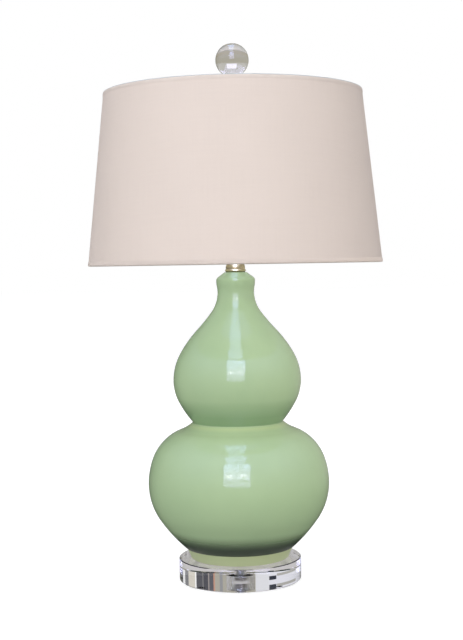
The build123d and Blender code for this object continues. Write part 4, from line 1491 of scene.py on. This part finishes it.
# ---------------------------------------------------------------- finial
@dataclass
class Finial:
    """The crystal ball on its turned brass base, in millimetres."""

    foot_r: float = 9.0
    foot_h: float = 3.0
    foot_edge: float = 0.3
    neck_r: float = 4.9
    neck_z: float = 14.0
    cup_r: float = 10.5
    cup_edge: float = 1.6
    cup_slopes: Point = (10.0, 60.0)
    ball_r: float = 23.0
    ball_fit: float = 0.05
    ball_flat: float = 0.985
    bore_r: float = 3.15
    bore_end: float = 0.3

    def build(self) -> None:
        """Builds the base and the ball."""
        low = low_z("finial_base")
        centre = (high_z("finial_ball") - low) / MM - self.ball_r
        seat_r = self.ball_r + self.ball_fit
        rim = centre - math.sqrt(seat_r ** 2 - self.cup_r ** 2)
        bore_top = (high_z("harp_swivel") - low) / MM + self.bore_end
        edge = self.foot_edge
        drawn = Outline().to((self.bore_r, 0), (self.foot_r - edge, 0), (self.foot_r, edge))
        drawn.arc((self.foot_r - 0.4, self.foot_h), 80).biarc((self.neck_r, self.neck_z), 180, 90)
        drawn.biarc((self.cup_r, rim - self.cup_edge), 90, self.cup_slopes[0])
        drawn.arc((self.cup_r, rim - 0.1), self.cup_slopes[1])
        drawn.arc((0, centre - seat_r), 180 + math.degrees(math.asin(self.cup_r / seat_r)))
        drawn.to((0, bore_top), (self.bore_r, bore_top))
        fit(turned("finial_brass", drawn.scaled(low), 96, 40), Body.FINIAL, POLISHED, "finial_base")
        self.ball(low + centre * MM)

    def ball(self, centre: float) -> None:
        """Builds the solid ball, ground flat where it is glued down.

        Args:
            centre: the height of its centre.
        """
        ball = start_piece("crystal_ball", bpy.ops.mesh.primitive_uv_sphere_add, segments=128,
                           ring_count=64, radius=self.ball_r * MM, location=(0, 0, centre))
        bpy.ops.object.transform_apply(location=True, rotation=True, scale=True)
        bpy.ops.object.mode_set(mode="EDIT")
        bpy.ops.mesh.select_all(action="SELECT")
        level = centre - self.ball_r * MM * self.ball_flat
        bpy.ops.mesh.bisect(
            plane_co=(0, 0, level), plane_no=(0, 0, 1), use_fill=True, clear_inner=True)
        bpy.ops.object.mode_set(mode="OBJECT")
        fit(tidy_mesh(ball, 30), Body.FINIAL, CRYSTAL, "finial_ball")


# ---------------------------------------------------------------- studio
@dataclass(frozen=True)
class Panel:
    """One soft rectangular lamp, turned about Z and then about X by degrees.

    A panel lights matt and shiny surfaces alike, or only one of them.
    """

    name: str
    centre: Triple
    turn: Point
    size: Point
    glow: Colour
    matt: bool = True
    shiny: bool = True
    clear_of_shade: bool = True
    aloft: float = 1.0
    setback: float = 20 * MM

    def build(self, above: Group, below: Group, rest: Group) -> None:
        """Hangs the panel, once for the ceramic and its foot and once for all the rest.

        Args:
            above: the pieces above the neck, which don't shade the ceramic.
            below: the ceramic, the neck and the foot.
            rest: everything else.
        """
        if not self.clear_of_shade:
            self.hang(self.name)
            return
        lower, upper = self.hang(self.name + "_below"), self.hang(self.name + "_rest")
        lower.light_linking.receiver_collection = below
        lower.light_linking.blocker_collection = above
        upper.light_linking.receiver_collection = rest
        upper.matrix_world = upper.matrix_world @ Matrix.Translation((0, 0, self.setback))
        upper.data.energy *= self.aloft

    def hang(self, name: str) -> Object:
        """Makes one lamp of the panel's size and place.

        Args:
            name: the lamp's name.

        Returns:
            The lamp.
        """
        data = bpy.data.lights.new(name, "AREA")
        data.shape, data.size, data.size_y = "RECTANGLE", *self.size
        top = max(self.glow)
        data.color = tuple(c / top for c in self.glow)
        data.energy = top * math.pi * self.size[0] * self.size[1]
        panel = bpy.data.objects.new(name, data)
        bpy.context.collection.objects.link(panel)
        around, up = (Matrix.Rotation(math.radians(angle), 4, axis)
                      for angle, axis in zip(self.turn, "ZX"))
        panel.matrix_world = Matrix.Translation(self.centre) @ around @ up
        panel.visible_camera, panel.visible_diffuse = False, self.matt
        panel.visible_glossy = panel.visible_transmission = self.shiny
        panel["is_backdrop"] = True
        return panel


@dataclass(frozen=True)
class Card:
    """An upright curved card round the lamp that only refracted rays meet.

    Its ends are given in degrees from straight behind the lamp, where the right is positive.
    """

    name: str
    start: float
    end: float
    colour: Colour
    low: float = 0.14
    high: float = 0.40
    radius: float = 1.0

    def build(self) -> None:
        """Stands the card up."""
        add = bpy.ops.mesh.primitive_grid_add
        card = start_piece(self.name, add, x_subdivisions=12, y_subdivisions=1, size=1)
        for vertex in card.data.vertices:
            turn = math.radians(self.start + (self.end - self.start) * (vertex.co.x + 0.5))
            rise = self.low + (self.high - self.low) * (vertex.co.y + 0.5)
            vertex.co = (self.radius * math.sin(turn), self.radius * math.cos(turn), rise)
        s = Shader("card")
        s.tree.nodes.remove(s.surface)
        s.show(s.add("Emission", {0: self.colour}))
        card.data.materials.append(s.material)
        card.visible_camera = card.visible_diffuse = False
        card.visible_shadow = card.visible_glossy = False
        card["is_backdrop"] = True


SOFT_PANELS = (
    Panel("window", (-0.26, -6.0, 3.55), (0, 90), (3.65, 5.9), (1.13, 1.16, 1.20), shiny=False,
          aloft=2.6),
    Panel("ceiling", (-0.05, -0.70, 2.2), (0, 0), (1.2, 2.4), (0.88, 0.97, 1.18), shiny=False),
    Panel("fill_left", (-1.99, -1.67, 0.8), (-50, 80), (2.4, 1.6), (1.82, 1.84, 1.87), shiny=False,
          aloft=0.72),
    Panel("fill_right", (2.25, -1.3, 0.8), (60, 80), (2.4, 1.6), (1.92, 1.83, 1.70), shiny=False,
          aloft=0.45),
    Panel("fill_back", (0, 2.6, 1.1), (180, 75), (2.4, 2.2), (1.4, 1.4, 1.4), shiny=False,
          clear_of_shade=False),
)
GLOSS_STRIPS = (
    (0.75, (3.1, 0.3), (1.3, 1.3, 2.3)),
    (1.50, (3.5, 1.2), (2.9, 2.9, 4.7)),
    (2.50, (3.65, 0.8), (4.6, 4.6, 7.4)),
    (3.25, (3.85, 0.7), (4.3, 4.5, 7.0)),
    (4.10, (4.05, 1.0), (4.3, 4.7, 7.8)),
    (5.35, (4.3, 1.5), (3.7, 4.4, 7.6)),
    (6.45, (4.2, 0.7), (3.2, 3.8, 6.8)),
)
GLOSS_PANELS = tuple(
    Panel(f"gloss_{k}", (-0.26, -5.98, level), (0, 90), size, glow, matt=False)
    for k, (level, size, glow) in enumerate(GLOSS_STRIPS)
) + (
    Panel("gloss_top_front", (-0.10, -1.45, 2.19), (0, 0), (0.9, 0.75), (2.0, 2.4, 4.7),
          matt=False),
    Panel("gloss_top", (-0.08, -0.15, 2.19), (0, 0), (0.6, 1.9), (1.4, 1.9, 3.4), matt=False),
    Panel("spark_left", (-1.25, -5.95, 2.6), (0, 90), (0.9, 0.55), (6.0, 5.6, 6.0), matt=False),
    Panel("spark_right", (0.65, -5.95, 2.6), (0, 90), (1.0, 0.55), (6.0, 5.6, 6.0), matt=False),
)
CARDS = (
    Card("low_haze", -100, 100, (0.42, 0.385, 0.30), 0.0, 0.45, 2.7),
    Card("haze", -100, 100, (0.42, 0.40, 0.34), 0.45, 1.45, 2.7),
    Card("high_haze", -120, 120, (0.50, 0.49, 0.46), 1.45, 5.0, 2.7),
    Card("rear_window", -12, 14, (0.93, 0.91, 1.0), 1.5, 2.2, 2.6),
    Card("pale_lines", 9.6, 11.4, (0.30, 0.30, 0.31)),
    Card("orange", 14.4, 15.4, (0.55, 0.30, 0.22)),
    Card("slate_first", 15.4, 18.4, (0.11, 0.11, 0.125)),
    Card("line_first", 18.4, 19.3, (0.34, 0.30, 0.29)),
    Card("slate_second", 19.3, 23.2, (0.075, 0.075, 0.09)),
    Card("line_second", 23.2, 24.0, (0.24, 0.23, 0.23)),
    Card("slate_third", 24.0, 30.5, (0.095, 0.095, 0.11)),
    Card("white_line", 30.5, 32.0, (1.0, 1.0, 1.0)),
    Card("cream", 32.0, 42.6, (0.70, 0.66, 0.58)),
    Card("grey", 42.6, 50.7, (0.22, 0.22, 0.23)),
    Card("white", 50.7, 58.4, (1.0, 1.0, 1.0)),
    Card("black", 58.4, 69.0, (0.05, 0.05, 0.055)),
    Card("lavender", -75.0, -16.5, (0.78, 0.78, 0.84)),
    Card("block_low", -22.0, -16.5, (0.03, 0.035, 0.05), 0.2329, 0.2414, 0.98),
    Card("block_high", -22.0, -16.5, (0.03, 0.035, 0.05), 0.2515, 0.40, 0.98),
    Card("streak_low", -50.0, -22.5, (0.42, 0.41, 0.38), 0.2290, 0.2345, 0.98),
    Card("streak_high", -50.0, -22.5, (0.42, 0.41, 0.38), 0.2515, 0.2575, 0.98),
    Card("pale", -17.0, -8.0, (0.75, 0.75, 0.78)),
)


@dataclass
class Studio:
    """The white sweep, the soft lamps, the cards and the camera."""

    ambient: float = 0.46
    ambient_tint: Colour = (0.99, 0.99, 1.0)
    floor_size: float = 40.0
    floor_bounce: float = 0.42
    floor_paper: float = 0.4
    floor_white: float = 0.82
    under_glass: tuple[Colour, Colour] = ((0.58, 0.555, 0.555), (0.42, 0.40, 0.33))
    painted_shade_by_foot: Colour = (0.04, 0.05, 0.04)
    in_front: tuple[Colour, Colour] = ((0.40, 0.40, 0.36), (0.95, 1.0, 1.7))
    behind: tuple[Colour, Colour] = ((0.05, 0.06, 0.055), (0.40, 0.40, 0.37))
    focal: float = 1268.5
    sensor: float = 36.0
    eye: Triple = (0.0, -1.7636, 0.440)
    pitch: float = 2.476
    yaw: float = 0.215
    roll: float = -0.95

    def build(self) -> None:
        """Sets the stage."""
        scene = bpy.context.scene
        scene.view_settings.view_transform = "Standard"
        self.world(scene)
        self.floor()
        groups = self.groups()
        for panel in SOFT_PANELS + GLOSS_PANELS:
            panel.build(*groups)
        for card in CARDS:
            card.build()
        self.camera(scene)

    def groups(self) -> tuple[Group, Group, Group]:
        """Sorts the pieces for the lamps.

        Returns:
            The pieces that cast no shadow on the ceramic, those lit as if alone, and the rest.
        """
        above, below, rest = (bpy.data.collections.new(name) for name in ("above", "below", "rest"))
        neck = high_z("brass_neck") + 0.5 * MM
        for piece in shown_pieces():
            if piece.type != "MESH":
                continue
            if max(vertex.co.z for vertex in piece.data.vertices) < neck:
                below.objects.link(piece)
                rest.objects.link(piece)
            elif body_of(piece) != Body.BASE.value:
                above.objects.link(piece)
        for group in (above, rest):
            for member in group.collection_objects:
                member.light_linking.link_state = "EXCLUDE"
        return above, below, rest

    def ray(self, s: Nodes, *kinds: str) -> Port:
        """Tells rays apart.

        Args:
            s: the node tree.
            kinds: outputs of the Light Path node.

        Returns:
            1 for rays of these kinds.
        """
        path = s.add("LightPath")
        total = path.outputs[kinds[0]]
        for kind in kinds[1:]:
            total = s.math("MAXIMUM", total, path.outputs[kind])
        return total

    def mirrored(self, s: Nodes, direction: Port) -> Port:
        """What gloss shows: pale in front and above, grey behind on the right, dark on the left.

        Args:
            s: the node tree.
            direction: where the reflected ray goes.

        Returns:
            The colour.
        """
        part = s.add("SeparateXYZ", {0: direction})
        back = s.spread(part.outputs[1], 0, 1, -0.3, 0.75)
        right = s.spread(part.outputs[0], 0, 1, -0.45, 0.45)
        up = s.spread(part.outputs[2], 0, 1, -0.05, 0.6)
        return s.mix(back, s.mix(up, *self.in_front), s.mix(right, *self.behind))

    def world(self, scene: bpy.types.Scene) -> None:
        """White where it is seen, and a plain soft level for the light that it gives.

        Args:
            scene: the scene.
        """
        scene.world = bpy.data.worlds.new("studio")
        scene.world.use_nodes = True
        s = Nodes(scene.world.node_tree)
        s.tree.nodes.clear()
        output = s.add("OutputWorld")
        light = s.add("Background", {0: self.ambient_tint, 1: self.ambient})
        white = s.add("Background", {0: (1.0, 1.0, 1.0), 1: 1.0})
        mirror = self.mirrored(s, s.add("TexCoord").outputs["Generated"])
        gloss = s.add("Background", {0: mirror, 1: 1.0})
        shown = s.blend(self.ray(s, "Is Glossy Ray"), light, gloss)
        both = s.blend(self.ray(s, "Is Camera Ray", "Is Transmission Ray"), shown, white)
        s.feed(output.inputs[0], both.outputs[0])

    def floor(self) -> None:
        """A wide white floor that keeps the shadow; glass finds it grey, gloss finds painted shade
        by the foot.
        """
        floor = start_piece("floor", bpy.ops.mesh.primitive_plane_add, size=self.floor_size)
        s = Shader("floor")
        s.tree.nodes.remove(s.surface)
        here = s.place((1, 1, 0))
        away = s.add("VectorMath", {0: here}, operation="LENGTH").outputs["Value"]
        ahead = s.add("VectorMath", {0: here}, operation="NORMALIZE").outputs[0]
        bounce = s.add("BsdfDiffuse", {0: (self.floor_bounce,) * 3})
        paper = s.add("BsdfDiffuse", {0: (self.floor_paper,) * 3})
        glow = s.add("Emission", {0: (1.0, 1.0, 1.0), 1: self.floor_white})
        white = s.add("AddShader", {0: paper.outputs[0], 1: glow.outputs[0]})
        table = s.mix(s.spread(away, 0, 1, 0.5, 1.2), *self.under_glass)
        # painted shade: gloss finds the floor near black by the foot
        shine = s.mix(s.spread(away, 0, 1, 0.15, 1.6), self.painted_shade_by_foot, self.mirrored(s, ahead))
        glass, gloss = (s.add("Emission", {0: colour, 1: 1.0}) for colour in (table, shine))
        seen = s.blend(self.ray(s, "Is Camera Ray"), bounce, white)
        seen = s.blend(self.ray(s, "Is Glossy Ray"), seen, gloss)
        s.show(s.blend(self.ray(s, "Is Transmission Ray"), seen, glass))
        floor.data.materials.append(s.material)
        floor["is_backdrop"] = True

    def camera(self, scene: bpy.types.Scene) -> None:
        """The camera at the picture's own place and angle.

        Args:
            scene: the scene.
        """
        data = bpy.data.cameras.new("camera")
        data.sensor_fit, data.sensor_height = "VERTICAL", self.sensor
        data.lens = self.focal / PICTURE[1] * self.sensor
        camera = bpy.data.objects.new("camera", data)
        bpy.context.collection.objects.link(camera)
        place = Matrix.Translation(self.eye)
        for angle, axis in ((self.yaw, "Z"), (90 - self.pitch, "X"), (self.roll, "Z")):
            place = place @ Matrix.Rotation(math.radians(angle), 4, axis)
        camera.matrix_world = place
        scene.camera = camera


def main() -> None:
    """Builds the lamp around its frame, then the studio."""
    logging.basicConfig(level=logging.INFO, format="%(message)s")
    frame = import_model()
    NODES.update({name: node.name for name, node in frame["nodes"].items()})
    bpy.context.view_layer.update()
    for part in (AcrylicFoot(), LampPipe(), Gourd(), BrassNeck(), Socket(), Bulb(), Harp(), Shade(),
                 Finial()):
        log.info("%s", type(part).__name__)
        part.build()
    Studio().build()


if __name__ == "__main__":
    main()
